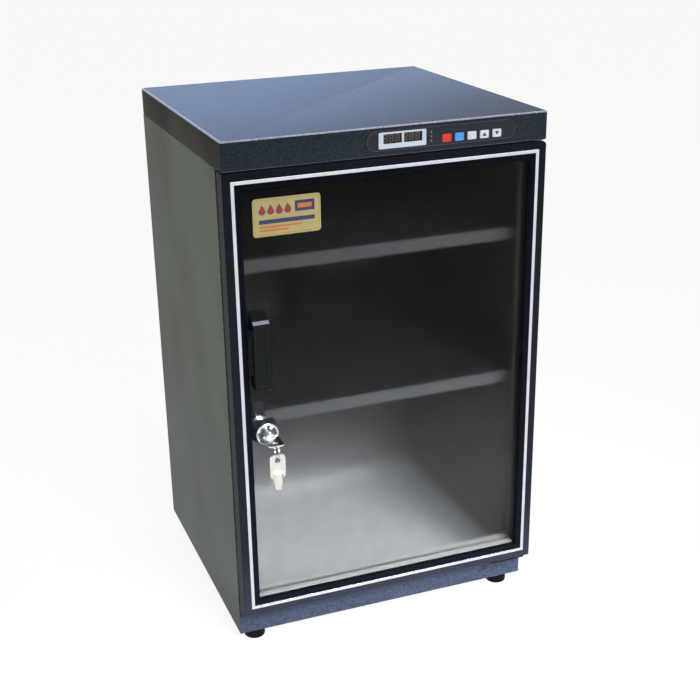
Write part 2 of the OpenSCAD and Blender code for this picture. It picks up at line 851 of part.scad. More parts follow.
// Leads: inlet to supply, supply to the board, supply to the drying unit and the probe
module wiring() {
    elbow_r = wire_r * elbow_share;
    base = tray_z + sheet_t + elbow_r;
    inlet_back = cab_d - inlet_deep;
    supply_front = supply_y - supply_d;
    board_x = panel_x + panel_w / 2;
    wall_y = back_y - elbow_r;
    supply_x_mid = supply_x + supply_w / 2;
    color("#2a2a2e") placed() {
        lead([[inlet_x, inlet_back, inlet_mid], [inlet_x, supply_y + lead_gap, inlet_mid],
            [inlet_x + lead_gap, supply_y + lead_gap, base], [inlet_x + lead_gap, supply_y, base]], wire_r);
        lead([[supply_x_mid, supply_front, base + supply_up],
            [supply_x_mid, supply_front - lead_gap, base + supply_up],
            [supply_x_mid, supply_front - lead_gap, base],
            [board_x, supply_front - lead_gap, base], [board_x, board_y + board_t + lead_gap, base],
            [board_x, board_y + board_t + lead_gap, panel_mid], [board_x, board_y + board_t, panel_mid]],
                wire_r);
        lead([[supply_x + supply_w, supply_y - lead_gap, base], [lead_x, supply_y - lead_gap, base],
            [lead_x, lead_y, base], [lead_x, lead_y, body_h - lead_gap],
                [lead_x, wall_y, body_h - lead_gap - (wall_y - lead_y)],
            [lead_x, wall_y, dryer_z + dryer_h]], wire_r);
        lead([[lead_x, wall_y, probe_lead_z], [probe_x, wall_y, probe_lead_z],
            [probe_x, wall_y, probe_z + probe_h]], wire_r);
    }
}

// Drying unit's housing: open in front, vent in its back, ledges and ears inside
module dryer_housing() {
    color("#4a4e54") placed() translate([dryer_x, back_y, dryer_z]) {
        difference() {
            block([-dryer_w / 2, -dryer_d, 0], [dryer_w, dryer_d, dryer_h]);
            block([-dryer_w / 2 + dryer_t, -dryer_d - over, dryer_t],
                [dryer_w - 2 * dryer_t, dryer_d - dryer_t + over, dryer_h - 2 * dryer_t]);
            block([-vent_w / 2, -dryer_t - over, vent_z], [vent_w, dryer_t + 2 * over, vent_h]);
            translate([lead_x - dryer_x, -wire_r, dryer_h - dryer_t - over])
                cylinder(r = wire_r + loose_fit, h = dryer_t + 2 * over);
        }
        for (side = [0, 1]) mirror([side, 0, 0])
            block([dryer_w / 2 - dryer_t - flap_ear, -dryer_d + pack_front, pack_up - pack_rib],
                [flap_ear, pack_d, pack_rib]);
        translate([0, -dryer_t, flap_pin_z]) flap_ears();
    }
}

// Two ears that hold a flap's pin; the wall that carries them is behind, at y = 0
module flap_ears() {
    for (side = [-1, 1]) translate([side * (flap_w / 2 + flap_side_gap + flap_ear_t / 2), 0, 0])
        difference() {
        block([-flap_ear_t / 2, -flap_pin_out - flap_barrel_r, -flap_barrel_r],
            [flap_ear_t, flap_pin_out + flap_barrel_r, 2 * flap_barrel_r]);
        translate([-flap_ear_t / 2 - over, -flap_pin_out, 0])
            rod_x(flap_pin_r + seat_fit, flap_ear_t + 2 * over);
    }
}

// Front cover with louvres above and the inner vent below
module dryer_cover() {
    color("#54585e") placed() translate([dryer_x, back_y - dryer_d - dryer_cover_t, dryer_z]) {
        difference() {
            translate([-dryer_w / 2, 0, 0]) face_plate(dryer_w, dryer_h, dryer_cover_t, dryer_cover_t);
            block([-vent_w / 2, -over, vent_z], [vent_w, dryer_cover_t + 2 * over, vent_h]);
            for (i = [0 : louvre_count - 1])
                block([-louvre_w / 2, -over, louvre_up + i * louvre_pitch],
                    [louvre_w, dryer_cover_t + 2 * over, louvre_h]);
        }
        translate([0, dryer_cover_t, flap_pin_z]) mirror([0, 1, 0]) flap_ears();
    }
}

// Tray of desiccant on the housing's ledges
module desiccant_pack() {
    color("#d8d4c4") placed() translate([dryer_x, back_y - dryer_d + pack_front, dryer_z + pack_up])
        block([-dryer_w / 2 + dryer_t + pack_gap / 2, 0, 0],
            [dryer_w - 2 * dryer_t - pack_gap, pack_d, dryer_h - dryer_t - pack_up - pack_gap]);
}

// Heater plate against the desiccant's back
module heater_plate() {
    color("#a8483a") placed() translate([dryer_x, back_y - dryer_d + pack_front + pack_d, dryer_z + pack_up])
        block([-dryer_w / 2 + dryer_t + pack_gap, 0, 0],
            [dryer_w - 2 * dryer_t - 2 * pack_gap, heater_t, dryer_h - dryer_t - pack_up - 2 * pack_gap]);
}

// Flap with its barrel on the pin at the origin; it hangs down, its seat towards -Y
module flap() {
    difference() {
        union() {
            translate([-flap_w / 2, 0, 0]) rod_x(flap_barrel_r, flap_w);
            block([-flap_w / 2, -flap_pin_out + flap_seal_gap, -flap_l], [flap_w, flap_t, flap_l]);
        }
        translate([-flap_w / 2 - over, 0, 0]) rod_x(flap_pin_r + run_fit, flap_w + 2 * over);
    }
}

// The inner flap stands open at rest
module inner_flap() {
    color("#d0d3d6") placed() translate([dryer_x, back_y - dryer_d + flap_pin_out, dryer_z + flap_pin_z])
        rotate([flap_open, 0, 0]) flap();
}

// The outer flap is shut at rest
module outer_flap() {
    color("#d0d3d6") placed() translate([dryer_x, back_y - dryer_t - flap_pin_out, dryer_z + flap_pin_z])
        mirror([0, 1, 0]) flap();
}

module flap_pins() {
    l = flap_w + 2 * flap_side_gap + 2 * flap_ear_t;
    color("silver") placed() for (y = [back_y - dryer_d + flap_pin_out, back_y - dryer_t - flap_pin_out])
        translate([dryer_x - l / 2, y, dryer_z + flap_pin_z]) rod_x(flap_pin_r, l);
}

// Louvred cover over the vent in the back panel
module vent_cover() {
    low = dryer_z + vent_z + vent_h / 2 - vent_cover_h / 2;
    color("#1c1c1f") placed() translate([dryer_x - vent_cover_w / 2, cab_d - sheet_t, low]) difference() {
        face_plate(vent_cover_w, vent_cover_h, vent_cover_d, vent_cover_d);
        for (i = [1 : vent_bars])
            block([(vent_cover_w - louvre_w) / 2, -over, vent_cover_h * i / (vent_bars + 1) - louvre_h / 2],
                [louvre_w, vent_cover_d + 2 * over, louvre_h]);
    }
}

// Humidity probe in its slotted case on the back panel
module humidity_probe() {
    color("#d9d9d6") placed() translate([probe_x - probe_w / 2, back_y - probe_d, probe_z]) difference() {
        cube([probe_w, probe_d, probe_h]);
        for (i = [0 : probe_slot_count - 1])
            block([probe_slot_h, -over, probe_slot_pitch * (i + 1)],
                [probe_w - 2 * probe_slot_h, probe_slot_pitch + over, probe_slot_h]);
        translate([probe_w / 2, probe_d - wire_r, probe_h - wire_r])
            cylinder(r = wire_r + loose_fit, h = wire_r + over);
    }
}

// Section of the door frame: x from the door's edge inwards, y from its front face
module frame_section() {
    difference() {
        polygon([
            [0, frame_chamfer], [frame_chamfer, 0], [bevel_inset, 0], [frame_w, bevel_drop],
            [frame_w, frame_d], [0, frame_d]
        ]);
        translate([trim_inset, -over]) square([trim_w, trim_t - trim_proud + over]);
        translate([groove_inset, glass_y - bead_t]) square([frame_w, glass_t + 2 * bead_t]);
    }
}

// Bar along Z with the section at x = inset and mitred ends, its full length at x = 0
module mitred(l, inset, w) {
    intersection() {
        translate([0, 0, -l / 2]) linear_extrude(l) children();
        translate([0, frame_d + over, 0]) rotate([90, 0, 0]) linear_extrude(frame_d + 2 * over)
            polygon([[inset, inset - l / 2], [inset, l / 2 - inset], [inset + w, l / 2 - inset - w],
                [inset + w, inset + w - l / 2]]);
    }
}

module frame_bar(l) {
    mitred(l, 0, frame_w) frame_section();
}

module trim_bar(l) {
    mitred(l, trim_inset, trim_w) translate([trim_inset, -trim_proud]) square([trim_w, trim_t]);
}

// The four sides of the door, for a bar that stands along Z
module at_left() {
    translate([0, 0, door_lift + door_h / 2]) children();
}

module at_right() {
    translate([door_w, 0, door_lift + door_h / 2]) mirror([1, 0, 0]) children();
}

module at_bottom() {
    translate([door_w / 2, 0, door_lift]) rotate([0, -90, 0]) children();
}

module at_top() {
    translate([door_w / 2, 0, door_top]) rotate([0, 90, 0]) children();
}

// What is cut away outside the door's rounded corner
module corner_round() {
    translate([door_w - door_r, frame_d + over, door_top - door_r]) rotate([90, 0, 0])
        linear_extrude(frame_d + 2 * over) difference() {
            square(door_r + over);
            circle(door_r);
        }
}

module bush_pockets() {
    for (z = [door_lift - over, door_top - bush_l])
        translate([pin_x, hinge_y, z]) cylinder(r = bush_r + seat_fit, h = bush_l + over);
}

module door_stile_left() {
    color("#2b2f36") placed() at_left() frame_bar(door_h);
}

module door_stile_right() {
    color("#2b2f36") placed() difference() {
        at_right() frame_bar(door_h);
        corner_round();
        bush_pockets();
    }
}

module door_rail_top() {
    color("#2b2f36") placed() difference() {
        at_top() frame_bar(door_w);
        corner_round();
        bush_pockets();
    }
}

module door_rail_bottom() {
    color("#2b2f36") placed() difference() {
        at_bottom() frame_bar(door_w);
        bush_pockets();
    }
}

// Four mitred silver strips in the frame's groove
module door_trim() {
    color("#dfe3e8") placed() {
        at_left() trim_bar(door_h);
        at_right() trim_bar(door_h);
        at_bottom() trim_bar(door_w);
        at_top() trim_bar(door_w);
    }
}

// Glass with the holes for the lock and the handle's screws
module glass_pane() {
    color("#7c8a8c80") placed() difference() {
        block([glass_inset, glass_y, door_lift + glass_inset],
            [door_w - 2 * glass_inset, glass_t, door_h - 2 * glass_inset]);
        translate([lock_x, glass_y - over, lock_z]) rod_y(lock_barrel_r + loose_fit, glass_t + 2 * over);
        for (z = handle_screw_z)
            translate([handle_mid_x, glass_y - over, z])
                rod_y(handle_screw_r + loose_fit, glass_t + 2 * over);
    }
}

// Black bead folded round the edge of the glass
module glazing_bead() {
    w = door_w - 2 * groove_inset;
    h = door_h - 2 * groove_inset;
    color("#0c0c0d") placed() translate([groove_inset, glass_y - bead_t, door_lift + groove_inset])
        difference() {
        cube([w, glass_t + 2 * bead_t, h]);
        block([bead_w, -over, bead_w], [w - 2 * bead_w, glass_t + 2 * bead_t + 2 * over, h - 2 * bead_w]);
        block([glass_rim, bead_t, glass_rim], [w - 2 * glass_rim, glass_t, h - 2 * glass_rim]);
    }
}

// Magnetic gasket on the back of the frame
module door_gasket() {
    w = door_w - 2 * gasket_inset;
    h = door_h - 2 * gasket_inset;
    color("#232325") placed() translate([gasket_inset, frame_d, door_lift + gasket_inset]) difference() {
        cube([w, gasket_t, h]);
        block([gasket_w, -over, gasket_w], [w - 2 * gasket_w, gasket_t + 2 * over, h - 2 * gasket_w]);
    }
}

// Label on the front of the glass
module info_label() {
    color("#d8a83c") placed() translate([label_x, glass_y - label_t, body_h - hood_gap - label_top - label_h])
        face_plate(label_w, label_h, label_t, label_r);
}

// Pull handle: a bar on two legs, its upper end sloped, a shallow panel in its front
module door_handle() {
    deep = glass_y + handle_out;
    color("#14151a") placed() translate([handle_x, -handle_out, handle_z]) difference() {
        rotate([90, 0, 90]) linear_extrude(handle_w) polygon([
            [0, handle_chamfer], [handle_chamfer, 0], [deep, handle_chamfer * 2], [deep, handle_leg],
            [handle_grip + handle_chamfer, handle_leg], [handle_grip, handle_leg + handle_chamfer],
            [handle_grip, handle_l - handle_slope - handle_leg - handle_chamfer],
            [handle_grip + handle_chamfer, handle_l - handle_slope - handle_leg],
            [deep, handle_l - handle_slope - handle_leg], [deep, handle_l],
            [handle_brow, handle_l - handle_slope], [0, handle_l - handle_slope - handle_brow_drop]
        ]);
        translate([handle_panel_left, handle_panel_deep, 0])
            block([0, -handle_panel_deep - over, handle_leg / 2],
                [handle_w - handle_panel_left - handle_panel_right, handle_panel_deep + over,
                    handle_l - handle_slope - handle_leg]);
        for (z = handle_screw_z) translate([handle_w / 2, deep - handle_screw_deep, z - handle_z])
            rod_y(handle_screw_r + seat_fit, handle_screw_deep + over);
    }
}

// Screws that hold the handle through the glass
module handle_screws() {
    back = glass_y + glass_t;
    color("silver") placed() for (z = handle_screw_z) translate([handle_mid_x, 0, z]) {
        translate([0, glass_y + over - handle_screw_deep, 0])
            rod_y(handle_screw_r, back - glass_y - over + handle_screw_deep);
        translate([0, back, 0]) rod_y(handle_head_r, handle_head_t);
    }
}

// Bushes pressed into the door's corners, each with a flange outside
module hinge_bushes() {
    color("#e4e0d4") placed() for (top = [0, 1])
        translate([pin_x, hinge_y, top ? door_top : door_lift]) mirror([0, 0, top]) difference() {
            union() {
                cylinder(r = bush_r, h = bush_l - seat_fit);
                translate([0, 0, -bush_flange_t]) cylinder(r = bush_flange_r, h = bush_flange_t);
            }
            translate([0, 0, -bush_flange_t - over])
                cylinder(r = hinge_pin_r + run_fit, h = bush_l + bush_flange_t + 2 * over);
        }
}

// Upper hinge plate on the ceiling tray, its pin down into the door, with its screws
module hinge_upper() {
    plate_y = body_y + hinge_back;
    screw_y = body_y;
    color("#26282c") placed() translate([0, 0, tray_z + sheet_t]) {
        difference() {
            translate([cab_w - hinge_side - hinge_w, hinge_front, 0]) linear_extrude(hinge_t)
                rounded(hinge_w, plate_y - hinge_front, hinge_nose_r);
            for (x = hinge_screw_x) translate([x, screw_y, -over])
                cylinder(r = hinge_screw_r + seat_fit, h = hinge_t + 2 * over);
        }
        translate([pin_x, hinge_y, -sheet_t - door_top_gap - bush_l + over])
            cylinder(r = hinge_pin_r, h = sheet_t + door_top_gap + bush_l - over);
        for (x = hinge_screw_x) translate([x, screw_y, -sheet_t]) {
            cylinder(r = hinge_screw_r, h = sheet_t + hinge_t);
            translate([0, 0, sheet_t + hinge_t]) cylinder(r = hinge_head_r, h = hinge_head_t);
        }
    }
}

// Lower hinge plate through the front rail, its leg behind the rail, with its screws
module hinge_lower() {
    leg_y = body_y + sheet_t;
    plate_z = door_lift - hinge_drop - hinge_t;
    color("#26282c") placed() {
        difference() {
            union() {
                translate([cab_w - hinge_side - hinge_w, hinge_front, plate_z]) linear_extrude(hinge_t)
                    rounded(hinge_w, leg_y + hinge_t + hinge_nose_r - hinge_front, hinge_nose_r);
                block([cab_w - hinge_side - hinge_w, leg_y, plate_z - hinge_leg],
                    [hinge_w, hinge_t, hinge_leg]);
            }
            for (x = hinge_screw_x) translate([x, leg_y - over, plate_z - hinge_leg / 2])
                rod_y(hinge_screw_r + seat_fit, hinge_t + 2 * over);
        }
        translate([pin_x, hinge_y, plate_z + hinge_t])
            cylinder(r = hinge_pin_r, h = hinge_drop + bush_l - over);
        for (x = hinge_screw_x) translate([x, body_y, plate_z - hinge_leg / 2]) {
            rod_y(hinge_screw_r, sheet_t + hinge_t);
            translate([0, sheet_t + hinge_t, 0]) rod_y(hinge_head_r, hinge_head_t);
        }
    }
}

// Lock case: ring in front of the glass, barrel through it, bore for the core
module lock_body() {
    back = lock_end_y;
    color("#c9ccd1") placed() translate([lock_x, 0, lock_z]) difference() {
        union() {
            translate([0, -lock_ring_out, 0])
                rod_y(lock_ring_d / 2 - lock_ring_edge, lock_ring_out + glass_y);
            translate([0, lock_ring_edge - lock_ring_out, 0])
                rod_y(lock_ring_d / 2, lock_ring_out + glass_y - lock_ring_edge);
            translate([0, lock_ring_edge - lock_ring_out, 0]) rotate([90, 0, 0]) rotate_extrude()
                translate([lock_ring_d / 2 - lock_ring_edge, 0]) circle(lock_ring_edge);
            rod_y(lock_barrel_r, back);
        }
        translate([0, -lock_ring_out - over, 0]) rod_y(lock_dish_r, lock_dish + over);
        translate([0, -lock_ring_out - over, 0])
            rod_y(lock_core_r + run_fit, back + lock_ring_out + 2 * over);
    }
}

// Block behind the glass that clamps the lock
module lock_block() {
    color("#9aa0a6") placed() translate([lock_x, glass_y + glass_t, lock_z]) difference() {
        translate([-lock_block_w / 2, 0, -lock_block_h / 2])
            face_plate(lock_block_w, lock_block_h, lock_block_t, lock_block_r);
        translate([0, -over, 0]) rod_y(lock_barrel_r + seat_fit, lock_block_t + 2 * over);
    }
}

// Turning core with the round keyway in its face and the square tang behind
module lock_core() {
    color("#b4b8bd") placed() translate([lock_x, 0, lock_z]) difference() {
        union() {
            translate([0, core_face_y, 0]) rod_y(lock_core_r, lock_end_y + cam_gap - core_face_y);
            block([-cam_tang / 2, 0, -cam_tang / 2], [cam_tang, lock_end_y + cam_gap + cam_t, cam_tang]);
        }
        difference() {
            translate([0, core_face_y - over, 0]) rod_y(key_barrel_r + run_fit, key_barrel_l + over);
            translate([0, core_face_y - 2 * over, 0]) rod_y(key_bore_r - run_fit, key_barrel_l + 3 * over);
        }
        translate([0, lock_end_y + cam_gap + cam_t - cam_screw_l, 0])
            rod_y(cam_screw_r + seat_fit, cam_screw_l + over);
    }
}

// Cam on the tang, upright when unlocked, with its screw
module lock_cam() {
    color("#aeb2b8") placed() translate([lock_x, lock_end_y + cam_gap, lock_z]) {
        difference() {
            union() {
                rod_y(cam_w / 2, cam_t);
                block([-cam_w / 2, 0, 0], [cam_w, cam_t, cam_l]);
            }
            block([-cam_tang / 2 - seat_fit, -over, -cam_tang / 2 - seat_fit],
                [cam_tang + 2 * seat_fit, cam_t + 2 * over, cam_tang + 2 * seat_fit]);
        }
        translate([0, cam_t + seat_fit, 0]) rod_y(cam_head_r, cam_head_t);
        translate([0, cam_t - cam_screw_l + over, 0]) rod_y(cam_screw_r, cam_screw_l);
    }
}

// Tubular key along +Y: barrel from the origin back to its shoulder, collar, flat bow
module tubular_key() {
    difference() {
        union() {
            translate([0, key_bow_l, 0]) rod_y(key_collar_r, key_collar_l);
            translate([0, key_bow_l + key_collar_l, 0]) rod_y(key_barrel_r, key_barrel_l - key_tip_gap);
            translate([-key_bow_w / 2, 0, -key_bow_t / 2]) linear_extrude(key_bow_t)
                rounded(key_bow_w, key_bow_l + key_collar_l / 2, key_bow_r);
        }
        translate([0, key_bow_l + key_collar_l - key_bore_deep, 0])
            rod_y(key_bore_r, key_bore_deep + key_barrel_l + over);
        translate([0, key_web + key_hole_r, -key_bow_t]) cylinder(r = key_hole_r, h = 2 * key_bow_t);
    }
}

module door_key() {
    color("#d4d7db") placed() translate([lock_x, bow_end_y, lock_z]) tubular_key();
}

// Ring through the key's bow; it hangs from the web between the hole and the bow's end
module key_ring() {
    color("#c4c8ce") placed() translate([lock_x, web_y, lock_z - ring_drop]) rotate([0, 90, 0])
        rotate_extrude() translate([key_ring_r, 0]) circle(key_wire_r);
}

// Second key, hanging from the ring with its bow up
module spare_key() {
    top = key_web + key_wire_r + loose_fit;
    color("#d4d7db") placed() translate([lock_x, web_y, lock_z - ring_drop - key_ring_r + top])
        rotate([-90, 0, 0]) tubular_key();
}

side_panel_left();
side_panel_right();
back_panel();
floor_pan();
ceiling_tray();
bottom_rail();
top_rail();
hood();
hood_screws();
feet();
foot_bolts();
shelf_upper();
shelf_middle();
shelf_uprights();
shelf_clips();
control_overlay();
display_bezel();
digit_modules();
indicator_lamps();
control_board();
board_standoffs();
key_power();
key_blue();
key_set();
key_up_arrow();
key_down_arrow();
power_supply();
power_inlet();
inlet_screws();
wiring();
dryer_housing();
dryer_cover();
desiccant_pack();
heater_plate();
inner_flap();
outer_flap();
flap_pins();
vent_cover();
humidity_probe();
door_stile_left();
door_stile_right();
door_rail_top();
door_rail_bottom();
door_trim();
glass_pane();
glazing_bead();
door_gasket();
info_label();
door_handle();
handle_screws();
hinge_bushes();
hinge_upper();
hinge_lower();
lock_body();
lock_block();
lock_core();
lock_cam();
door_key();
key_ring();
spare_key();
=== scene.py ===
import json
import math

import bmesh
import bpy
import numpy as np
from mathutils import Matrix, Vector


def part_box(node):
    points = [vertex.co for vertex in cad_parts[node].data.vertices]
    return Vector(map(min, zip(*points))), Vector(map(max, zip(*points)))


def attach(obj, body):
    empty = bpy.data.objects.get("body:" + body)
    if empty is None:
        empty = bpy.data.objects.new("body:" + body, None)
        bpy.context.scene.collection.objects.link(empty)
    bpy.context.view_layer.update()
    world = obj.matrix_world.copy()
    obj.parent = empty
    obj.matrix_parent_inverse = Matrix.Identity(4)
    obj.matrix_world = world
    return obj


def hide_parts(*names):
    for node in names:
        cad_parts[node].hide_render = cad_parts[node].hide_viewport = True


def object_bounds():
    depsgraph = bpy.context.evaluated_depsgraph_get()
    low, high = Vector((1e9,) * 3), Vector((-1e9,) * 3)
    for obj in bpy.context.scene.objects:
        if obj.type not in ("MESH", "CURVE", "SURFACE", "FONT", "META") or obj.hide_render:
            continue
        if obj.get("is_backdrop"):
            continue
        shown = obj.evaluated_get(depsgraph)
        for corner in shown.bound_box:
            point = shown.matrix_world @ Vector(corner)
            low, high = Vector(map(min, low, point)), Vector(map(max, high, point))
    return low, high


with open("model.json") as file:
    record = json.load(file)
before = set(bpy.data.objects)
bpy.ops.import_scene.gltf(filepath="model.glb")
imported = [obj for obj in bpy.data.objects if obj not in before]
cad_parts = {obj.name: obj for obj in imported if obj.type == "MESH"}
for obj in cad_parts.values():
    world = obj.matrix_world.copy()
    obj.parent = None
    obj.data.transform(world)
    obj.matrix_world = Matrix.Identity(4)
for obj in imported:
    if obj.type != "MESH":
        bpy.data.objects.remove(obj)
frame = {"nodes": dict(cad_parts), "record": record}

cad_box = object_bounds()
nodes = frame["nodes"]
node_body = {n: b for b, names in frame["record"]["behaviour"]["bodies"].items() for n in names}
MM = 0.001

# A point this near a plane is on it, and points within the weld of each other are one
near = 0.00005
weld_gap = 0.00002
tiny = 1e-12


# Boxes of the pieces that carry the others

def span(node):
    """Lowest and highest corner of a node, as arrays in metres."""
    low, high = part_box(node)
    return np.array(low), np.array(high)


hood_low, hood_high = span("hood")
stile_low, stile_high = span("door_stile_left")
rail_low, rail_high = span("door_rail_bottom")
door_left, door_right = rail_low[0], rail_high[0]
door_bottom, door_top = stile_low[2], stile_high[2]
door_front, door_back = stile_low[1], stile_high[1]


# The camera stands to the left of the door and above it, in millimetres from the door's lower left

camera_place = (-347.494, -1287.514, 918.679)
camera_turn = 19.9808
camera_fall = 21.8356
camera_roll = -1.3115
camera_focus_px = 1247.431
camera_middle_px = (330.01, 359.461)
picture_px = 700
sensor_mm = 36
camera_sees = (0.05, 50)


def set_camera():
    """Camera whose axes follow from its turn, its fall and its roll about its own line of sight."""
    body_low = np.array((door_left, door_front, span("side_panel_left")[0][2]))
    turn, fall, roll = (math.radians(a) for a in (camera_turn, camera_fall, camera_roll))
    ahead = Vector((math.sin(turn) * math.cos(fall), math.cos(turn) * math.cos(fall), -math.sin(fall)))
    level = Vector((math.cos(turn), -math.sin(turn), 0))
    rise = level.cross(ahead)
    right = math.cos(roll) * level + math.sin(roll) * rise
    up = -math.sin(roll) * level + math.cos(roll) * rise
    data = bpy.data.cameras.new("camera")
    data.sensor_width = sensor_mm
    data.lens = camera_focus_px * sensor_mm / picture_px
    data.shift_x = (picture_px / 2 - camera_middle_px[0]) / picture_px
    data.shift_y = (camera_middle_px[1] - picture_px / 2) / picture_px
    data.clip_start, data.clip_end = camera_sees
    camera = bpy.data.objects.new("camera", data)
    camera.matrix_world = Matrix((
        (right[0], up[0], -ahead[0], body_low[0] + camera_place[0] * MM),
        (right[1], up[1], -ahead[1], body_low[1] + camera_place[1] * MM),
        (right[2], up[2], -ahead[2], body_low[2] + camera_place[2] * MM),
        (0, 0, 0, 1),
    ))
    bpy.context.scene.collection.objects.link(camera)
    bpy.context.scene.camera = camera


set_camera()


# Shader nodes

def fill(made, values):
    """Values whose names start with set_ are the node's properties, the rest its sockets' defaults."""
    for key, value in values.items():
        if key.startswith("set_"):
            setattr(made, key.removeprefix("set_"), value)
    for key, value in values.items():
        if not key.startswith("set_"):
            made.inputs[key.replace("__", " ")].default_value = value
    return made


class Shader:
    """A material's node tree with short calls for its nodes."""

    def __init__(self, name):
        self.mat = bpy.data.materials.new(name)
        self.mat.use_nodes = True
        self.tree = self.mat.node_tree
        self.skin = self.tree.nodes["Principled BSDF"]

    def node(self, kind, **values):
        return fill(self.tree.nodes.new(kind), values)

    def link(self, a, b):
        self.tree.links.new(a, b)

    def group(self, tree, **values):
        """A shared effect, laid out by the object's own coordinates."""
        made = self.tree.nodes.new("ShaderNodeGroup")
        made.node_tree = tree
        self.link(self.node("ShaderNodeTexCoord").outputs["Object"], made.inputs["Vector"])
        return fill(made, values)

    def bump(self, height, strength, distance):
        made = self.node("ShaderNodeBump", Strength=strength, Distance=distance)
        self.link(height, made.inputs["Height"])
        self.link(made.outputs["Normal"], self.skin.inputs["Normal"])

    def set(self, **values):
        fill(self.skin, values)


def new_group(name, inputs, outputs):
    """An empty node group with named float, colour and vector sockets."""
    kinds = {"f": "NodeSocketFloat", "c": "NodeSocketColor", "v": "NodeSocketVector"}
    tree = bpy.data.node_groups.new(name, "ShaderNodeTree")
    for label, kind in inputs:
        tree.interface.new_socket(label, in_out="INPUT", socket_type=kinds[kind])
    for label, kind in outputs:
        tree.interface.new_socket(label, in_out="OUTPUT", socket_type=kinds[kind])
    return tree, tree.nodes.new("NodeGroupInput"), tree.nodes.new("NodeGroupOutput")


def add(tree, kind, links=(), **values):
    """A node in a group, with its links from other nodes."""
    made = fill(tree.nodes.new(kind), values)
    for source, target in links:
        tree.links.new(source, made.inputs[target])
    return made


def mix(tree, share, first, second):
    """Two colours mixed by a share: the colours' sockets come after those of the other kinds."""
    socket_a, socket_b, socket_out = 6, 7, 2
    made = add(tree, "ShaderNodeMix", [(share, "Factor"), (first, socket_a), (second, socket_b)],
               set_data_type="RGBA")
    return made.outputs[socket_out]


def make_coat_group():
    """Powder coat: pimples of two sizes, fine specks in the colour, and soft clouds of a second colour."""
    tree, inp, out = new_group(
        "powder_coat",
        [("Vector", "v"), ("Color", "c"), ("Cloud", "c"), ("Grain", "f"), ("Speck", "f"), ("Gloss", "f")],
        [("Color", "c"), ("Roughness", "f"), ("Height", "f")])
    rough_swing = 0.18
    vec = inp.outputs["Vector"]
    fine = add(tree, "ShaderNodeTexNoise", [(vec, "Vector"), (inp.outputs["Grain"], "Scale")], Detail=3.0)
    cells = add(tree, "ShaderNodeTexVoronoi", [(vec, "Vector"), (inp.outputs["Grain"], "Scale")])
    wide = add(tree, "ShaderNodeTexNoise", [(vec, "Vector")], Scale=7.0, Detail=1.5)
    shade = add(tree, "ShaderNodeMapRange", [(wide.outputs["Fac"], "Value")],
                From__Min=0.3, From__Max=0.7, To__Min=0.0, To__Max=1.0)
    blend = mix(tree, shade.outputs[0], inp.outputs["Color"], inp.outputs["Cloud"])
    speck = add(tree, "ShaderNodeMapRange", [(fine.outputs["Fac"], "Value")],
                From__Min=0.35, From__Max=0.65, To__Min=-1.0, To__Max=1.0)
    speck = add(tree, "ShaderNodeMath", [(speck.outputs[0], 0), (inp.outputs["Speck"], 1)],
                set_operation="MULTIPLY_ADD")
    speck.inputs[2].default_value = 1.0
    tint = add(tree, "ShaderNodeVectorMath", [(blend, 0), (speck.outputs[0], 3)],
               set_operation="SCALE")
    rough = add(tree, "ShaderNodeMath", [(fine.outputs["Fac"], 0), (inp.outputs["Gloss"], 2)],
                set_operation="MULTIPLY_ADD")
    rough.inputs[1].default_value = rough_swing
    height = add(tree, "ShaderNodeMath", [(fine.outputs["Fac"], 0), (cells.outputs["Distance"], 1)],
                 set_operation="ADD")
    tree.links.new(tint.outputs[0], out.inputs["Color"])
    tree.links.new(rough.outputs[0], out.inputs["Roughness"])
    tree.links.new(height.outputs[0], out.inputs["Height"])
    return tree


def make_floor_light_group():
    """Painted light from the floor: a lighter colour mixed over the colour towards the foot, by a mask that
    falls with the height between two levels and is broken up by soft patches."""
    tree, inp, out = new_group(
        "foot_floor_light", [("Vector", "v"), ("Color", "c"), ("Dust", "c"), ("Level", "f"), ("Amount", "f")],
        [("Color", "c")])
    vec = inp.outputs["Vector"]
    split = add(tree, "ShaderNodeSeparateXYZ", [(vec, "Vector")])
    patch = add(tree, "ShaderNodeTexNoise", [(vec, "Vector")], Scale=30.0, Detail=5.0)
    depth = add(tree, "ShaderNodeMapRange",
                [(split.outputs["Z"], "Value"), (inp.outputs["Level"], "From Max")],
                From__Min=0.0, To__Min=1.0, To__Max=0.0)
    mask = add(tree, "ShaderNodeMath", [(depth.outputs[0], 0), (inp.outputs["Amount"], 1)],
               set_operation="MULTIPLY")
    soft = add(tree, "ShaderNodeMapRange", [(patch.outputs["Fac"], "Value")],
               From__Min=0.3, From__Max=0.7, To__Min=0.75, To__Max=1.0)
    share = add(tree, "ShaderNodeMath", [(mask.outputs[0], 0), (soft.outputs[0], 1)],
                set_operation="MULTIPLY")
    blend = mix(tree, share.outputs[0], inp.outputs["Color"], inp.outputs["Dust"])
    tree.links.new(blend, out.inputs["Color"])
    return tree


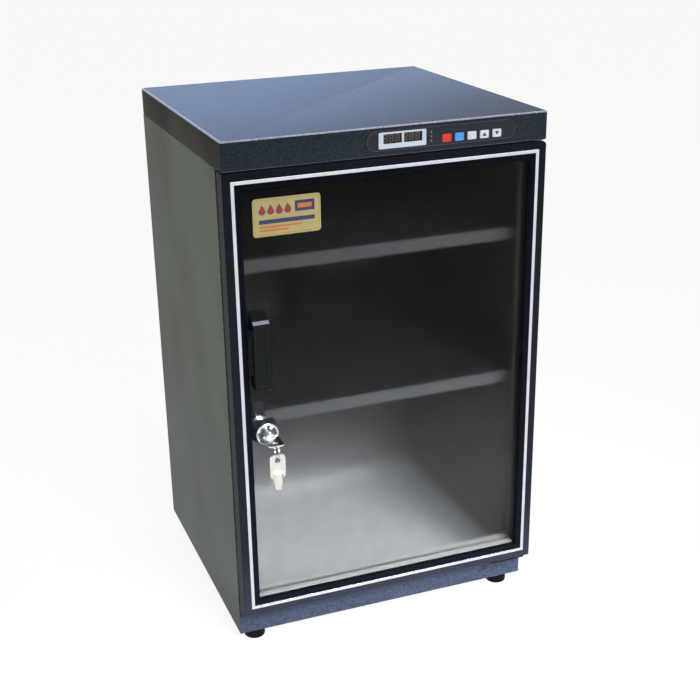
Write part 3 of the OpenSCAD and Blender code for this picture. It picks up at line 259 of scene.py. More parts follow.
def make_smudge_group():
    """Handling marks: a mask of soft patches and short scratches, as a roughness and a height."""
    tree, inp, out = new_group(
        "smudge", [("Vector", "v"), ("Color", "c"), ("Base", "f"), ("Amount", "f")],
        [("Color", "c"), ("Roughness", "f"), ("Height", "f")])
    vec = inp.outputs["Vector"]
    patch = add(tree, "ShaderNodeTexNoise", [(vec, "Vector")], Scale=55.0, Detail=4.0)
    fine = add(tree, "ShaderNodeTexNoise", [(vec, "Vector")], Scale=700.0, Detail=2.0)
    scaled = add(tree, "ShaderNodeMath", [(patch.outputs["Fac"], 0), (inp.outputs["Amount"], 1),
                                          (inp.outputs["Base"], 2)], set_operation="MULTIPLY_ADD")
    shade = add(tree, "ShaderNodeMapRange", [(patch.outputs["Fac"], "Value")],
                From__Min=0.2, From__Max=0.8, To__Min=0.9, To__Max=1.1)
    tint = add(tree, "ShaderNodeVectorMath", [(inp.outputs["Color"], 0), (shade.outputs[0], 3)],
               set_operation="SCALE")
    tree.links.new(tint.outputs[0], out.inputs["Color"])
    tree.links.new(scaled.outputs[0], out.inputs["Roughness"])
    tree.links.new(fine.outputs["Fac"], out.inputs["Height"])
    return tree


coat_group = make_coat_group()
floor_light_group = make_floor_light_group()
smudge_group = make_smudge_group()
pimple_deep, mark_deep = 0.0003, 0.0001


def coat(name, colour, grain=1500.0, speck=0.3, clouds=0.12, gloss=0.3, bump=0.35, specular=0.5,
         sheen=(1, 1, 1), cloud=None, floor_light=None, level=0.3):
    """Powder coated steel or aluminium: cloud is the second colour of its clouds, or clouds the share by
    which they are lighter; painted light from the floor is a lighter colour mixed in below a level, with its
    share."""
    s = Shader(name)
    cloud = cloud or [c * (1 + clouds) for c in colour]
    g = s.group(coat_group, Color=(*colour, 1), Cloud=(*cloud, 1), Grain=grain, Speck=speck, Gloss=gloss)
    coloured = g
    if floor_light:
        coloured = s.group(floor_light_group, Dust=(*floor_light[:3], 1), Level=level, Amount=floor_light[3])
        s.link(g.outputs["Color"], coloured.inputs["Color"])
    s.link(coloured.outputs["Color"], s.skin.inputs["Base Color"])
    s.link(g.outputs["Roughness"], s.skin.inputs["Roughness"])
    s.set(Specular__IOR__Level=specular, Specular__Tint=(*sheen, 1))
    s.bump(g.outputs["Height"], bump, pimple_deep)
    return s.mat


def moulding(name, colour, rough=0.3, marks=0.15, bump=0.05, metal=0.0, specular=0.5):
    """Plastic, rubber or plated metal with handling marks."""
    s = Shader(name)
    g = s.group(smudge_group, Color=(*colour, 1), Base=rough, Amount=marks)
    s.link(g.outputs["Color"], s.skin.inputs["Base Color"])
    s.link(g.outputs["Roughness"], s.skin.inputs["Roughness"])
    s.set(Metallic=metal, Specular__IOR__Level=specular)
    s.bump(g.outputs["Height"], bump, mark_deep)
    return s.mat


def pane(name, tint, rough, shadow_alpha):
    """Window glass: clear gloss on the outside over a body with a faint haze. Light that comes to the
    pieces behind it passes by the alpha."""
    s = Shader(name)
    path = s.node("ShaderNodeLightPath")
    through = s.node("ShaderNodeMath", set_operation="MAXIMUM")
    s.link(path.outputs["Is Shadow Ray"], through.inputs[0])
    s.link(path.outputs["Is Diffuse Ray"], through.inputs[1])
    body = s.node("ShaderNodeMapRange", To__Min=1.0, To__Max=shadow_alpha)
    s.link(through.outputs[0], body.inputs["Value"])
    s.link(body.outputs[0], s.skin.inputs["Alpha"])
    g = s.group(smudge_group, Color=(*tint, 1), Base=rough, Amount=0.03)
    s.link(g.outputs["Color"], s.skin.inputs["Base Color"])
    s.link(g.outputs["Roughness"], s.skin.inputs["Roughness"])
    s.set(Transmission__Weight=1.0, IOR=1.08, Coat__Weight=0.06, Coat__Roughness=0.02)
    return s.mat


# Bluish tint of the hood top's gloss: a painted reflection of a bluish sky
painted_blue_sheen = (0.34, 0.56, 0.96)
paint = {
    # Painted reflection: the body's outer panels take the hood's paint made lighter and greenish, with
    # greenish clouds and sheen, and a bluish colour mixed in towards the foot as painted reflection of the
    # floor
    "body": coat("body_coat", (0.066, 0.070, 0.058), grain=480.0, speck=0.4, gloss=0.36, bump=0.9,
                 specular=0.06, cloud=(0.100, 0.122, 0.086), sheen=(0.9, 1.0, 0.8),
                 floor_light=(0.092, 0.102, 0.125, 0.6), level=0.36),
    "hood": coat("hood_coat", (0.022, 0.028, 0.037), grain=420.0, gloss=0.36, bump=0.9, specular=0.12,
                 clouds=0.3, sheen=(0.14, 0.16, 0.18)),
    # Painted shade: the hood's two outer sides take a darker, duller copy of its paint, with greenish clouds
    # as painted reflection
    "hood_side": coat("hood_side_coat", (0.012, 0.012, 0.010), grain=480.0, speck=0.3, gloss=0.4, bump=0.9,
                      specular=0.02, cloud=(0.040, 0.047, 0.035), sheen=(0.2, 0.22, 0.24)),
    # Painted reflection: the hood's top takes a bluer copy of the hood's paint with a bluish sheen
    "hood_top": coat("hood_top_coat", (0.012, 0.016, 0.028), grain=300.0, gloss=0.34, bump=0.9, specular=0.15,
                     clouds=0.5, sheen=painted_blue_sheen),
    # Painted highlight: a pale, glossy copy of the hood's paint for the bevels along its arrises, the top bend
    # most of all
    "hood_glint": coat("hood_glint_coat", (0.19, 0.21, 0.29), grain=420.0, gloss=0.10, bump=0.9, specular=0.9),
    # Painted reflection: the plinth takes the dark paint made bluish, with a bluish sheen, standing for the
    # floor's reflection on it
    "rail": coat("rail_coat", (0.033, 0.041, 0.062), grain=300.0, gloss=0.36, bump=0.7, clouds=0.2,
                 specular=0.24, sheen=(0.42, 0.56, 1.0)),
    # Painted light: the floor pan is far paler than the inner walls, standing for the light that falls on it
    "inside": coat("inside_coat", (0.46, 0.465, 0.47), grain=1400.0, gloss=0.3, bump=0.25, specular=0.2),
    # Painted light: the inner walls' dark paint has a light grey mixed in towards the floor as painted bounce
    # light
    "wall": coat("wall_coat", (0.035, 0.0355, 0.036), grain=1400.0, gloss=0.4, bump=0.25, specular=0.1,
                 floor_light=(0.40, 0.40, 0.40, 0.85), level=0.32),
    # Painted shade and light: a shelf's top takes a dark copy of the paint as painted shade, and its front lip
    # the lighter copy below as painted light
    "shelf": coat("shelf_coat", (0.018, 0.019, 0.020), grain=1400.0, gloss=0.4, bump=0.25, specular=0.1),
    "lip": coat("shelf_lip_coat", (0.065, 0.066, 0.068), grain=1400.0, gloss=0.4, bump=0.25, specular=0.1),
    # Painted reflection: a bluish colour is mixed into the frame's paint towards the door's foot, standing for
    # the floor's reflection
    "frame": coat("frame_coat", (0.008, 0.0095, 0.013), grain=2500.0, gloss=0.24, bump=0.12, specular=0.09,
                  sheen=(0.25, 0.28, 0.34), floor_light=(0.085, 0.10, 0.15, 0.3), level=0.15),
    # Painted shade: a darker, duller copy of the frame's paint for its sides and the rebate round the glass
    "rebate": coat("rebate_coat", (0.004, 0.005, 0.009), grain=2500.0, gloss=0.3, bump=0.12, specular=0.03,
                   sheen=(0.14, 0.15, 0.16)),
    # Painted light: the back wall is a lighter copy of the inner walls' paint, with a light grey mixed in
    # towards the floor as painted bounce light
    "back_wall": coat("back_wall_coat", (0.075, 0.0755, 0.076), grain=1400.0, gloss=0.4, bump=0.25,
                      specular=0.1, floor_light=(0.30, 0.30, 0.30, 0.6), level=0.34),
    # Painted light: a pale paint for the flat faces at the glass's foot that light falls on, the plinth's
    # flange and the door's lower rebate
    "sill": coat("sill_coat", (0.36, 0.36, 0.355), grain=2500.0, gloss=0.35, bump=0.15, specular=0.2),
    "hinge": coat("hinge_coat", (0.004, 0.004, 0.005), grain=2500.0, gloss=0.3, bump=0.2, specular=0.08),
    "dryer": moulding("dryer_moulding", (0.015, 0.016, 0.018), rough=0.45, bump=0.4, specular=0.15),
}
finish = {
    "trim": moulding("drawn_aluminium", (0.74, 0.76, 0.80), rough=0.2, marks=0.1, metal=1.0, bump=0.01),
    # Painted reflection: a dark copy of the chrome for the dish inside the lock's ring
    "dark_dish": moulding("painted_dark_chrome", (0.17, 0.18, 0.22), rough=0.08, marks=0.1, metal=1.0, bump=0.03),
    "chrome": moulding("chrome_plate", (0.62, 0.63, 0.66), rough=0.05, marks=0.06, metal=1.0, bump=0.02),
    # Painted reflection and highlight: a dim copy of the bright metal, standing for a dark reflection on the
    # key's bow and the lock's core, and a painted highlight on the lock block's arrises
    "dim_nickel": moulding("nickel_painted_dim", (0.12, 0.125, 0.17), rough=0.16, marks=0.2, metal=1.0,
                            bump=0.1),
    "key_steel": moulding("nickel_plate", (0.80, 0.78, 0.72), rough=0.22, marks=0.2, metal=1.0, bump=0.1),
    "zinc": moulding("zinc_plate", (0.40, 0.41, 0.43), rough=0.3, marks=0.2, metal=1.0, bump=0.15),
    "black_zinc": moulding("black_zinc_plate", (0.03, 0.032, 0.036), rough=0.35, marks=0.2, metal=0.6,
                           bump=0.15),
    "rubber": moulding("black_rubber", (0.004, 0.004, 0.005), rough=0.5, marks=0.25, bump=0.5, specular=0.06),
    "bead": moulding("bead_rubber", (0.002, 0.002, 0.004), rough=0.5, marks=0.2, bump=0.3, specular=0.05),
    "gloss_black": moulding("handle_moulding", (0.005, 0.006, 0.006), rough=0.16, marks=0.16, bump=0.03,
                            specular=0.12),
    # Painted highlight: a bluer, lighter and glossier copy of the handle's black for the bevels along its
    # arrises
    "handle_glint": moulding("handle_arris_glint", (0.016, 0.019, 0.04), rough=0.08, marks=0.05, bump=0.02,
                           specular=1.0),
    # Painted highlight: a lighter, half-metallic copy of the handle's black for the chamfer at its upper
    # front, standing for a glint
    "brow_glint": moulding("handle_brow", (0.11, 0.12, 0.19), rough=0.14, marks=0.3, bump=0.03, metal=0.45,
                           specular=1.0),
    "matt_black": moulding("black_moulding", (0.02, 0.02, 0.022), rough=0.45, marks=0.2, bump=0.3),
    "film": moulding("panel_film", (0.022, 0.025, 0.033), rough=0.35, marks=0.1, bump=0.04, specular=0.15),
    "line": moulding("outline_ink", (0.10, 0.105, 0.125), rough=0.35, marks=0.1, specular=0.3),
    "bezel": moulding("bezel_moulding", (0.62, 0.70, 0.80), rough=0.35, marks=0.1, bump=0.1),
    "display": moulding("display_face", (0.040, 0.036, 0.034), rough=0.4, marks=0.1, specular=0.1),
    "segment": moulding("display_segment", (0.15, 0.14, 0.135), rough=0.45, marks=0.1, specular=0.1),
    "lamp": moulding("lamp_lens", (0.16, 0.15, 0.16), rough=0.25, marks=0.1),
    "red": moulding("red_key", (0.66, 0.03, 0.025), rough=0.35, marks=0.15),
    "blue": moulding("blue_key", (0.07, 0.34, 0.80), rough=0.35, marks=0.15),
    "white": moulding("white_key", (0.66, 0.70, 0.76), rough=0.35, marks=0.15),
    "ink": moulding("dark_ink", (0.02, 0.025, 0.05), rough=0.5, marks=0.1),
    "gold": moulding("gold_film", (0.36, 0.31, 0.12), rough=0.4, marks=0.3, metal=0.0, bump=0.1),
    "orange": moulding("orange_ink", (0.48, 0.13, 0.035), rough=0.4, marks=0.2),
    "maroon": moulding("maroon_ink", (0.26, 0.018, 0.02), rough=0.4, marks=0.2),
    "navy": moulding("navy_ink", (0.02, 0.024, 0.075), rough=0.4, marks=0.2),
    "green_board": moulding("board_lacquer", (0.02, 0.11, 0.05), rough=0.35, marks=0.2, bump=0.3),
    "cream": moulding("cream_moulding", (0.62, 0.61, 0.57), rough=0.45, marks=0.2, bump=0.2),
    "heater": moulding("heater_lacquer", (0.28, 0.09, 0.06), rough=0.5, marks=0.2, bump=0.2),
    "glass": pane("window_glass", (0.86, 0.87, 0.88), 0.36, 0.06),
}


# Shapes worked out as arrays

def tidy(mesh, weld=weld_gap):
    """Doubles merged, needle faces taken out and normals turned outwards."""
    work = bmesh.new()
    work.from_mesh(mesh)
    bmesh.ops.remove_doubles(work, verts=work.verts, dist=weld)
    bmesh.ops.dissolve_degenerate(work, edges=work.edges, dist=weld / 2)
    bmesh.ops.recalc_face_normals(work, faces=work.faces)
    work.to_mesh(mesh)
    work.free()


def piece(name, points, faces, mats, body, stands_for=(), slot=None, pick=None, smooth=35,
          weld=weld_gap):
    """A piece from arrays of points and faces, riding on a body; pick gives each face's material."""
    mesh = bpy.data.meshes.new(name)
    points = np.asarray(points, float).reshape(-1, 3).tolist()
    mesh.from_pydata(points, [], [list(map(int, f)) for f in faces])
    tidy(mesh, weld)
    return finish_piece(name, mesh, mats, body, stands_for, slot, pick, smooth)


def finish_piece(name, mesh, mats, body, stands_for=(), slot=None, pick=None, smooth=35):
    """Materials, shading, body and stand-ins for a mesh that is ready."""
    for mat in mats if isinstance(mats, (list, tuple)) else [mats]:
        mesh.materials.append(mat)
    if pick is not None:
        count = len(mesh.polygons)
        middles = np.empty(count * 3)
        mesh.polygons.foreach_get("center", middles)
        mesh.polygons.foreach_set("material_index", np.asarray(pick(middles.reshape(-1, 3)), np.int32))
    mesh.polygons.foreach_set("use_smooth", np.ones(len(mesh.polygons), bool))
    mesh.set_sharp_from_angle(angle=math.radians(smooth))
    made = bpy.data.objects.new(name, mesh)
    bpy.context.scene.collection.objects.link(made)
    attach(made, body)
    if stands_for:
        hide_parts(*stands_for)
    return made


def joined(parts):
    """Several (points, faces) as one."""
    points, faces, base = [], [], 0
    for p, f in parts:
        p = np.asarray(p, float).reshape(-1, 3)
        points.append(p)
        faces += [[i + base for i in face] for face in f]
        base += len(p)
    return np.concatenate(points), faces


def loft(rings, ends=True, wrap=False):
    """Quads between closed rings of equal length, shaped (ring, point, 3). Wrap joins the last ring to
    the first, and ends closes the first and last with a face."""
    rings = np.asarray(rings, float)
    count, around = rings.shape[:2]
    rows = np.arange(count if wrap else count - 1)
    cols = np.arange(around)
    i, j = np.meshgrid(rows, cols, indexing="ij")
    i2, j2 = (i + 1) % count, (j + 1) % around
    faces = np.stack([i * around + j, i * around + j2, i2 * around + j2, i2 * around + j], -1)
    faces = faces.reshape(-1, 4).tolist()
    if ends and not wrap:
        faces += [list(range(around))[::-1], list(range((count - 1) * around, count * around))]
    return rings.reshape(-1, 3), faces


def rounded(corners, radii, steps=4):
    """A closed outline through corners, each replaced by an arc of its radius that touches both sides:
    the arc is drawn as a circle between the two points where its tangents meet the corner."""
    straight = 0.01
    corners = np.asarray(corners, float)
    count = len(corners)
    radii = np.broadcast_to(np.asarray(radii, float), count)
    out = []
    for k in range(count):
        here = corners[k]
        back, on = corners[k - 1] - here, corners[(k + 1) % count] - here
        back, on = back / np.linalg.norm(back), on / np.linalg.norm(on)
        half = math.acos(max(-1.0, min(1.0, float(back @ on)))) / 2
        if radii[k] <= 0 or half > math.pi / 2 - straight:
            out.append(here[None])
            continue
        reach = radii[k] / math.tan(half)
        middle = here + (back + on) / np.linalg.norm(back + on) * (radii[k] / math.sin(half))
        first, last = here + back * reach - middle, here + on * reach - middle
        a0, a1 = math.atan2(first[1], first[0]), math.atan2(last[1], last[0])
        turn = (a1 - a0 + math.pi) % (2 * math.pi) - math.pi
        a = a0 + turn * np.linspace(0, 1, steps + 1)
        out.append(middle + radii[k] * np.stack([np.cos(a), np.sin(a)], 1))
    return np.concatenate(out)


def rect(x0, z0, x1, z1, r=0.0, steps=4):
    """Outline of a rectangle with round corners."""
    return rounded([(x0, z0), (x1, z0), (x1, z1), (x0, z1)], r, steps)


def shrink(outline, inset):
    """An outline moved inwards: each point goes along the bisector of its two sides by the inset."""
    on = np.roll(outline, -1, 0) - outline
    on /= np.linalg.norm(on, axis=1, keepdims=True) + tiny
    back = np.roll(on, 1, 0)
    side = np.stack([-on[:, 1], on[:, 0]], 1) + np.stack([-back[:, 1], back[:, 0]], 1)
    length = np.linalg.norm(side, axis=1, keepdims=True)
    area = np.sum(outline[:, 0] * np.roll(outline[:, 1], -1)
                  - np.roll(outline[:, 0], -1) * outline[:, 1])
    side = side * 2 / (length + tiny) ** 2 * (1 if area > 0 else -1)
    return outline + side * inset


def plate(outline, y_front, y_back, soft, steps=3):
    """A plate on an outline in X and Z: its front edge is a quarter round of the soft radius."""
    a = np.linspace(0, math.pi / 2, steps + 1)
    insets = soft * (1 - np.cos(a))
    depths = y_front + soft * (1 - np.sin(a))
    rings = [at_y(outline, y_back)]
    rings += [at_y(shrink(outline, i), y) for i, y in zip(insets, depths)]
    return loft(np.array(rings))


def at_y(outline, y):
    """An outline in X and Z set at a depth."""
    return np.stack([outline[:, 0], np.full(len(outline), y), outline[:, 1]], 1)


def spokes(a, along):
    """Unit vectors square to a level one, turned round it by the angles from the level side."""
    side = np.cross(along, (0, 0, 1.0))
    other = np.cross(along, side)
    return np.cos(a)[:, None] * side + np.sin(a)[:, None] * other


def revolve(profile, middle, along, around, closed=False):
    """A profile of (radius, place) turned about an axis through middle along a level unit vector."""
    along = np.asarray(along, float)
    a = np.linspace(0, 2 * math.pi, around, endpoint=False)
    profile = np.asarray(profile, float)
    rings = np.asarray(middle) + profile[:, None, :1] * spokes(a, along)[None] + profile[:, None, 1:] * along
    return loft(rings, wrap=closed, ends=not closed)


def arc(middle, radius, start, stop, steps):
    """Points on a circle in the plane of a profile, from start to stop degrees."""
    a = np.radians(np.linspace(start, stop, steps + 1))
    return np.asarray(middle) + radius * np.stack([np.cos(a), np.sin(a)], 1)


def soften(node, mats, width=0.0004, segments=2, limit=40, weigh=None, pick=None, edge=None, smooth=35):
    """A CAD node's own mesh, merged, with its arrises rounded by a bevel. weigh(a, b) gives each edge its
    share of the width from its two ends, pick gives each face its material, and edge is the finish of the
    bevel's faces: each one given below is lighter or glossier than its faces, a painted highlight along the
    arrises."""
    source = nodes[node]
    mesh = bpy.data.meshes.new(node + "_finished")
    work = bmesh.new()
    work.from_mesh(source.data)
    bmesh.ops.remove_doubles(work, verts=work.verts, dist=weld_gap)
    bmesh.ops.dissolve_degenerate(work, edges=work.edges, dist=weld_gap / 2)
    sharp = np.array([e.calc_face_angle(0) > math.radians(limit) for e in work.edges])
    work.to_mesh(mesh)
    work.free()
    mesh.materials.clear()
    if weigh is not None:
        count = len(mesh.edges)
        ends = np.empty(count * 2, np.int32)
        mesh.edges.foreach_get("vertices", ends)
        at = np.empty(len(mesh.vertices) * 3)
        mesh.vertices.foreach_get("co", at)
        at = at.reshape(-1, 3)
        ends = ends.reshape(-1, 2)
        share = (weigh(at[ends[:, 0]], at[ends[:, 1]]) * sharp).astype(np.float32)
        layer = mesh.attributes.new("bevel_weight_edge", "FLOAT", "EDGE")
        layer.data.foreach_set("value", share)
    mats = (mats if isinstance(mats, list) else [mats]) + ([edge] if edge else [])
    made = finish_piece(node + "_finished", mesh, mats, node_body[node], (node,), None, pick, smooth)
    bevel = made.modifiers.new("arris", "BEVEL")
    bevel.width = width
    bevel.segments = segments
    bevel.limit_method = "ANGLE" if weigh is None else "WEIGHT"
    bevel.angle_limit = math.radians(limit)
    bevel.use_clamp_overlap = weigh is None
    bevel.loop_slide = False
    bevel.material = len(mats) - 1 if edge else -1
    bevel.harden_normals = True
    bevel.miter_outer = "MITER_ARC"
    return made


def dress(names, mat):
    """A better material on CAD nodes that keep their shape."""
    for name in names:
        held = nodes[name].data.materials
        held.clear()
        held.append(mat)


# Folded sheet of the body

sheet = 0.0012
hood_bend = 0.0018
arris = 0.0003
shortest_fold = 0.02


def hood_share(a, b):
    """The bend round the hood's top takes the whole width, its upright folds and its lower rim a share."""
    high = np.minimum(a[:, 2], b[:, 2]) > hood_high[2] - near
    upright = np.abs(a[:, 2] - b[:, 2]) > shortest_fold
    rim = np.maximum(a[:, 2], b[:, 2]) < hood_low[2] + near
    rim &= np.minimum(a[:, 1], b[:, 1]) < hood_high[1] - 2 * sheet
    return np.select([high, upright | rim], [1.0, arris / hood_bend], 0.0)


def is_outer_back(middles):
    """Faces of the back panel that look outwards."""
    return (middles[:, 1] > span("back_panel")[1][1] - near).astype(int)


def hood_part(middles):
    """The hood's flat top, and its two outer sides, apart from the rest of it: the top takes a bluer, glossier
    copy of the paint as painted reflection, and the sides a darker one as painted shade.
    """
    side = (middles[:, 0] < hood_low[0] + near) | (middles[:, 0] > hood_high[0] - near)
    return np.where(middles[:, 2] > hood_high[2] - near, 1, np.where(side, 2, 0))


# The bevels along the hood's arrises take a pale copy of its paint as painted highlight
soften("hood", [paint["hood"], paint["hood_top"], paint["hood_side"]], hood_bend, 4, weigh=hood_share,
       pick=hood_part, edge=paint["hood_glint"])
for panel, outside in (("side_panel_left", 0), ("side_panel_right", 1)):
    wall_x = span(panel)[outside][0] + (1 - 2 * outside) * sheet
    soften(panel, [paint["body"], paint["wall"]], 0.0004, 2,
           pick=lambda middles: (np.abs(middles[:, 0] - wall_x) < near).astype(int))
soften("back_panel", [paint["back_wall"], paint["body"]], 0.0002, 1, pick=is_outer_back)


def is_sill(middles):
    """Faces of the plinth's upper flange, behind the door, which take a pale paint as painted light falling on
    them.
    """
    low, high = span("bottom_rail")
    flange_top, flange_front = 0.0002, 0.0005
    return ((middles[:, 2] > high[2] - flange_top) & (middles[:, 1] > low[1] + flange_front)).astype(int)


soften("bottom_rail", [paint["rail"], paint["sill"]], 0.0004, 2, pick=is_sill)
soften("top_rail", paint["body"], arris, 2)
soften("ceiling_tray", paint["hood"], arris, 1)
soften("floor_pan", paint["inside"], arris, 2)


def is_lip(middles):
    """Faces of a shelf's folded front lip, which take a lighter copy of the shelf's paint as painted light,
    while the shelf's top keeps a dark copy as painted shade.
    """
    return (middles[:, 1] < span("shelf_middle")[0][1] + sheet + near).astype(int)


for shelf in ("shelf_upper", "shelf_middle"):
    soften(shelf, [paint["shelf"], paint["lip"]], 0.0002, 1, pick=is_lip)
soften("shelf_uprights", paint["wall"], 0.0002, 1)
soften("shelf_clips", finish["zinc"], 0.0002, 1)
soften("feet", finish["rubber"], 0.0007, 3)
soften("hinge_lower", paint["hinge"], arris, 2)
soften("hinge_upper", paint["hinge"], arris, 2)


def is_blade(middles):
    """The three blades stand in the socket: near its middle, clear of its walls and of its floor."""
    blades_half_w, blades_half_h, socket_floor, socket_mouth = 0.0085, 0.0043, 0.0159, 0.0025
    low, high = span("power_inlet")
    across = np.abs(middles[:, 0] - (low[0] + high[0]) / 2) < blades_half_w
    up = np.abs(middles[:, 2] - (low[2] + high[2]) / 2) < blades_half_h
    deep = (middles[:, 1] > high[1] - socket_floor) & (middles[:, 1] < high[1] - socket_mouth)
    return (across & up & deep).astype(int)


soften("power_inlet", [finish["matt_black"], finish["zinc"]], arris, 2, pick=is_blade)
soften("dryer_housing", paint["dryer"], 0.0004, 2)
for cover in ("dryer_cover", "vent_cover", "inner_flap", "outer_flap"):
    soften(cover, paint["dryer"], arris, 2)
soften("humidity_probe", finish["cream"], 0.0004, 2)
soften("desiccant_pack", finish["cream"], 0.0004, 2)
dress(["foot_bolts", "flap_pins"], finish["zinc"])
dress(["wiring", "board_standoffs"], finish["matt_black"])
dress(["control_board", "power_supply"], finish["green_board"])
dress(["heater_plate"], finish["heater"])
dress(["digit_modules"], finish["display"])


# Screws with a cross in the head

def pan_head(middle, along, radius, height, length, shank):
    """Turned head with a cross sunk in it: rings go out from the sunk floor, an outline of the cross
    in polar form, over the crown, which falls as the square of the radius, to the rim and the shank."""
    around, arm, half, inner_corner = 64, radius * 0.62, radius * 0.16, 1.42
    crown_fall, cross_at, cross_taper, cross_deep, rim = 0.45, 0.4, 0.75, 0.6, 0.45
    along = np.asarray(along, float)
    a = (np.arange(around) + 0.5) * 2 * math.pi / around
    turned = np.abs((a + math.pi / 4) % (math.pi / 2) - math.pi / 4)
    cross = np.maximum(half / np.sin(turned), half * inner_corner)
    cross = np.minimum(arm / np.cos(turned), cross)

    def crown(share):
        return height * (1 - crown_fall * share ** 2)

    steps = [(cross * cross_taper, crown(cross_at) - height * cross_deep), (cross, crown(cross_at))]
    steps += [(radius * share, crown(share)) for share in (0.72, 0.85, 0.94)]
    steps += [(radius, height * rim), (radius, 0.0), (shank, 0.0), (shank, -length)]
    out = spokes(a, along)
    rings = [np.asarray(middle) + along * up + np.broadcast_to(r, around)[:, None] * out for r, up in steps]
    return loft(np.array(rings))


inward = (0, 1, 0)


def screws(node, places, head, height, shank, slot=None):
    """The node's screws from their places in X and Z, with their heads at its back and their shanks
    reaching its front."""
    low, high = span(node)
    length = high[1] - low[1] - height
    points, faces = joined([pan_head((x, high[1] - height, z), inward, head, height, length, shank)
                            for x, z in places])
    piece(node + "_turned", points, faces, finish["zinc"], node_body[node], (node,), slot)


for node, count, head, height, shank in (("hood_screws", 4, 0.004, 0.002, 0.002),
                                         ("inlet_screws", 2, 0.0028, 0.0016, 0.0015)):
    low, high = span(node)
    row = np.linspace(low[0] + head, high[0] - head, count)
    screws(node, [(x, (low[2] + high[2]) / 2) for x in row], head, height, shank, "steel")


# Door frame, its trim, bead and gasket

trim_in, trim_out, trim_face, trim_floor = 9.6, 13.6, -0.3, 0.9
trim_clear = 0.1
face_land, bead_seat, sill_foot, sill_top = 0.0005, 0.005, 0.0195, 0.03


def frame_part(middles):
    """The frame's face, then its sides with the rebate that falls from the trim to the glass, and then
    the lower rail's sill behind the glass. The sides and the rebate take a darker copy of the frame's paint as
    painted shade, and the sill a pale paint as painted light falling on it."""
    x, y, z = middles.T
    inset = np.min([x - door_left, door_right - x, z - door_bottom, door_top - z], axis=0)
    rebate = (inset > (trim_out + trim_clear) * MM) & (y < door_back - face_land)
    sill = rebate & (y > door_front + bead_seat) & (z < door_bottom + sill_top) & (z > door_bottom + sill_foot)
    side = inset < 2 * near
    return np.where(sill, 2, np.where(rebate | side, 1, 0))


for bar in ("door_stile_left", "door_stile_right", "door_rail_top", "door_rail_bottom"):
    soften(bar, [paint["frame"], paint["rebate"], paint["sill"]], 0.00025, 2, pick=frame_part)


def framed(profile):
    """A closed profile of (inset from the door's edge, depth) carried round the door, its corners
    mitred: each of the four corners is moved in by the inset along both sides."""
    profile = np.asarray(profile, float) * MM
    corners = [(door_left, door_bottom, 1, 1), (door_right, door_bottom, -1, 1),
               (door_right, door_top, -1, -1), (door_left, door_top, 1, -1)]
    rings = [np.stack([x + sx * profile[:, 0], door_front + profile[:, 1], z + sz * profile[:, 0]], 1)
             for x, z, sx, sz in corners]
    return loft(np.array(rings), wrap=True)


def trim_profile():
    """Strip with soft upper edges and a fine groove along it, a V with a flat floor."""
    edge_r, groove_left, groove_right, groove_deep, slope = 0.3, 10.75, 11.25, 0.12, 0.08
    floor = trim_face + groove_deep
    return np.concatenate([
        arc((trim_in + edge_r, trim_face + edge_r), edge_r, 180, 270, 3),
        [(groove_left, trim_face), (groove_left + slope, floor),
         (groove_right - slope, floor), (groove_right, trim_face)],
        arc((trim_out - edge_r, trim_face + edge_r), edge_r, 270, 360, 3),
        [(trim_out, trim_floor), (trim_in, trim_floor)],
    ])


piece("door_trim_drawn", *framed(trim_profile()), finish["trim"], "door", ("door_trim",), smooth=25)

# Sections of the bead and the gasket: inset from the door's edge, depth from its face
bead_profile = rounded(
    [(13.7, 2.25), (21.2, 2.25), (21.2, 2.75), (14.2, 2.75),
     (14.2, 6.75), (21.2, 6.75), (21.2, 7.25), (13.7, 7.25)],
    [0, 0.35, 0, 0, 0, 0, 0.35, 0], 3)
piece("glazing_bead_formed", *framed(bead_profile), finish["bead"], "door", ("glazing_bead",))

gasket_profile = rounded(
    [(7, 20), (16, 20), (16, 21), (14.2, 22.2), (15.8, 23.4),
     (15.8, 26.6), (7.2, 26.6), (7.2, 23.4), (8.8, 22.2), (7, 21)],
    [0, 0, 0.3, 0.5, 0.4, 0.5, 0.5, 0.4, 0.5, 0.3], 3)
piece("door_gasket_formed", *framed(gasket_profile), finish["rubber"], "door", ("door_gasket",))

dress(["glass_pane"], finish["glass"])
soften("hinge_bushes", finish["cream"], 0.0002, 2)


def is_brow(middles):
    """Faces of the chamfer at the front of the handle's upper end, which take a lighter, half-metallic copy of
    the handle's black as a painted highlight.
    """
    brow_drop, brow_deep = 0.0112, 0.0046
    low, high = span("door_handle")
    return ((middles[:, 2] > high[2] - brow_drop) & (middles[:, 1] < low[1] + brow_deep)).astype(int)


soften("door_handle", [finish["gloss_black"], finish["brow_glint"]], 0.0006, 3, pick=is_brow,
       edge=finish["handle_glint"])


# Lock, its keys and their ring

lock_low, lock_high = span("lock_body")
lock_mid = np.array(((lock_low[0] + lock_high[0]) / 2, door_front, (lock_low[2] + lock_high[2]) / 2))


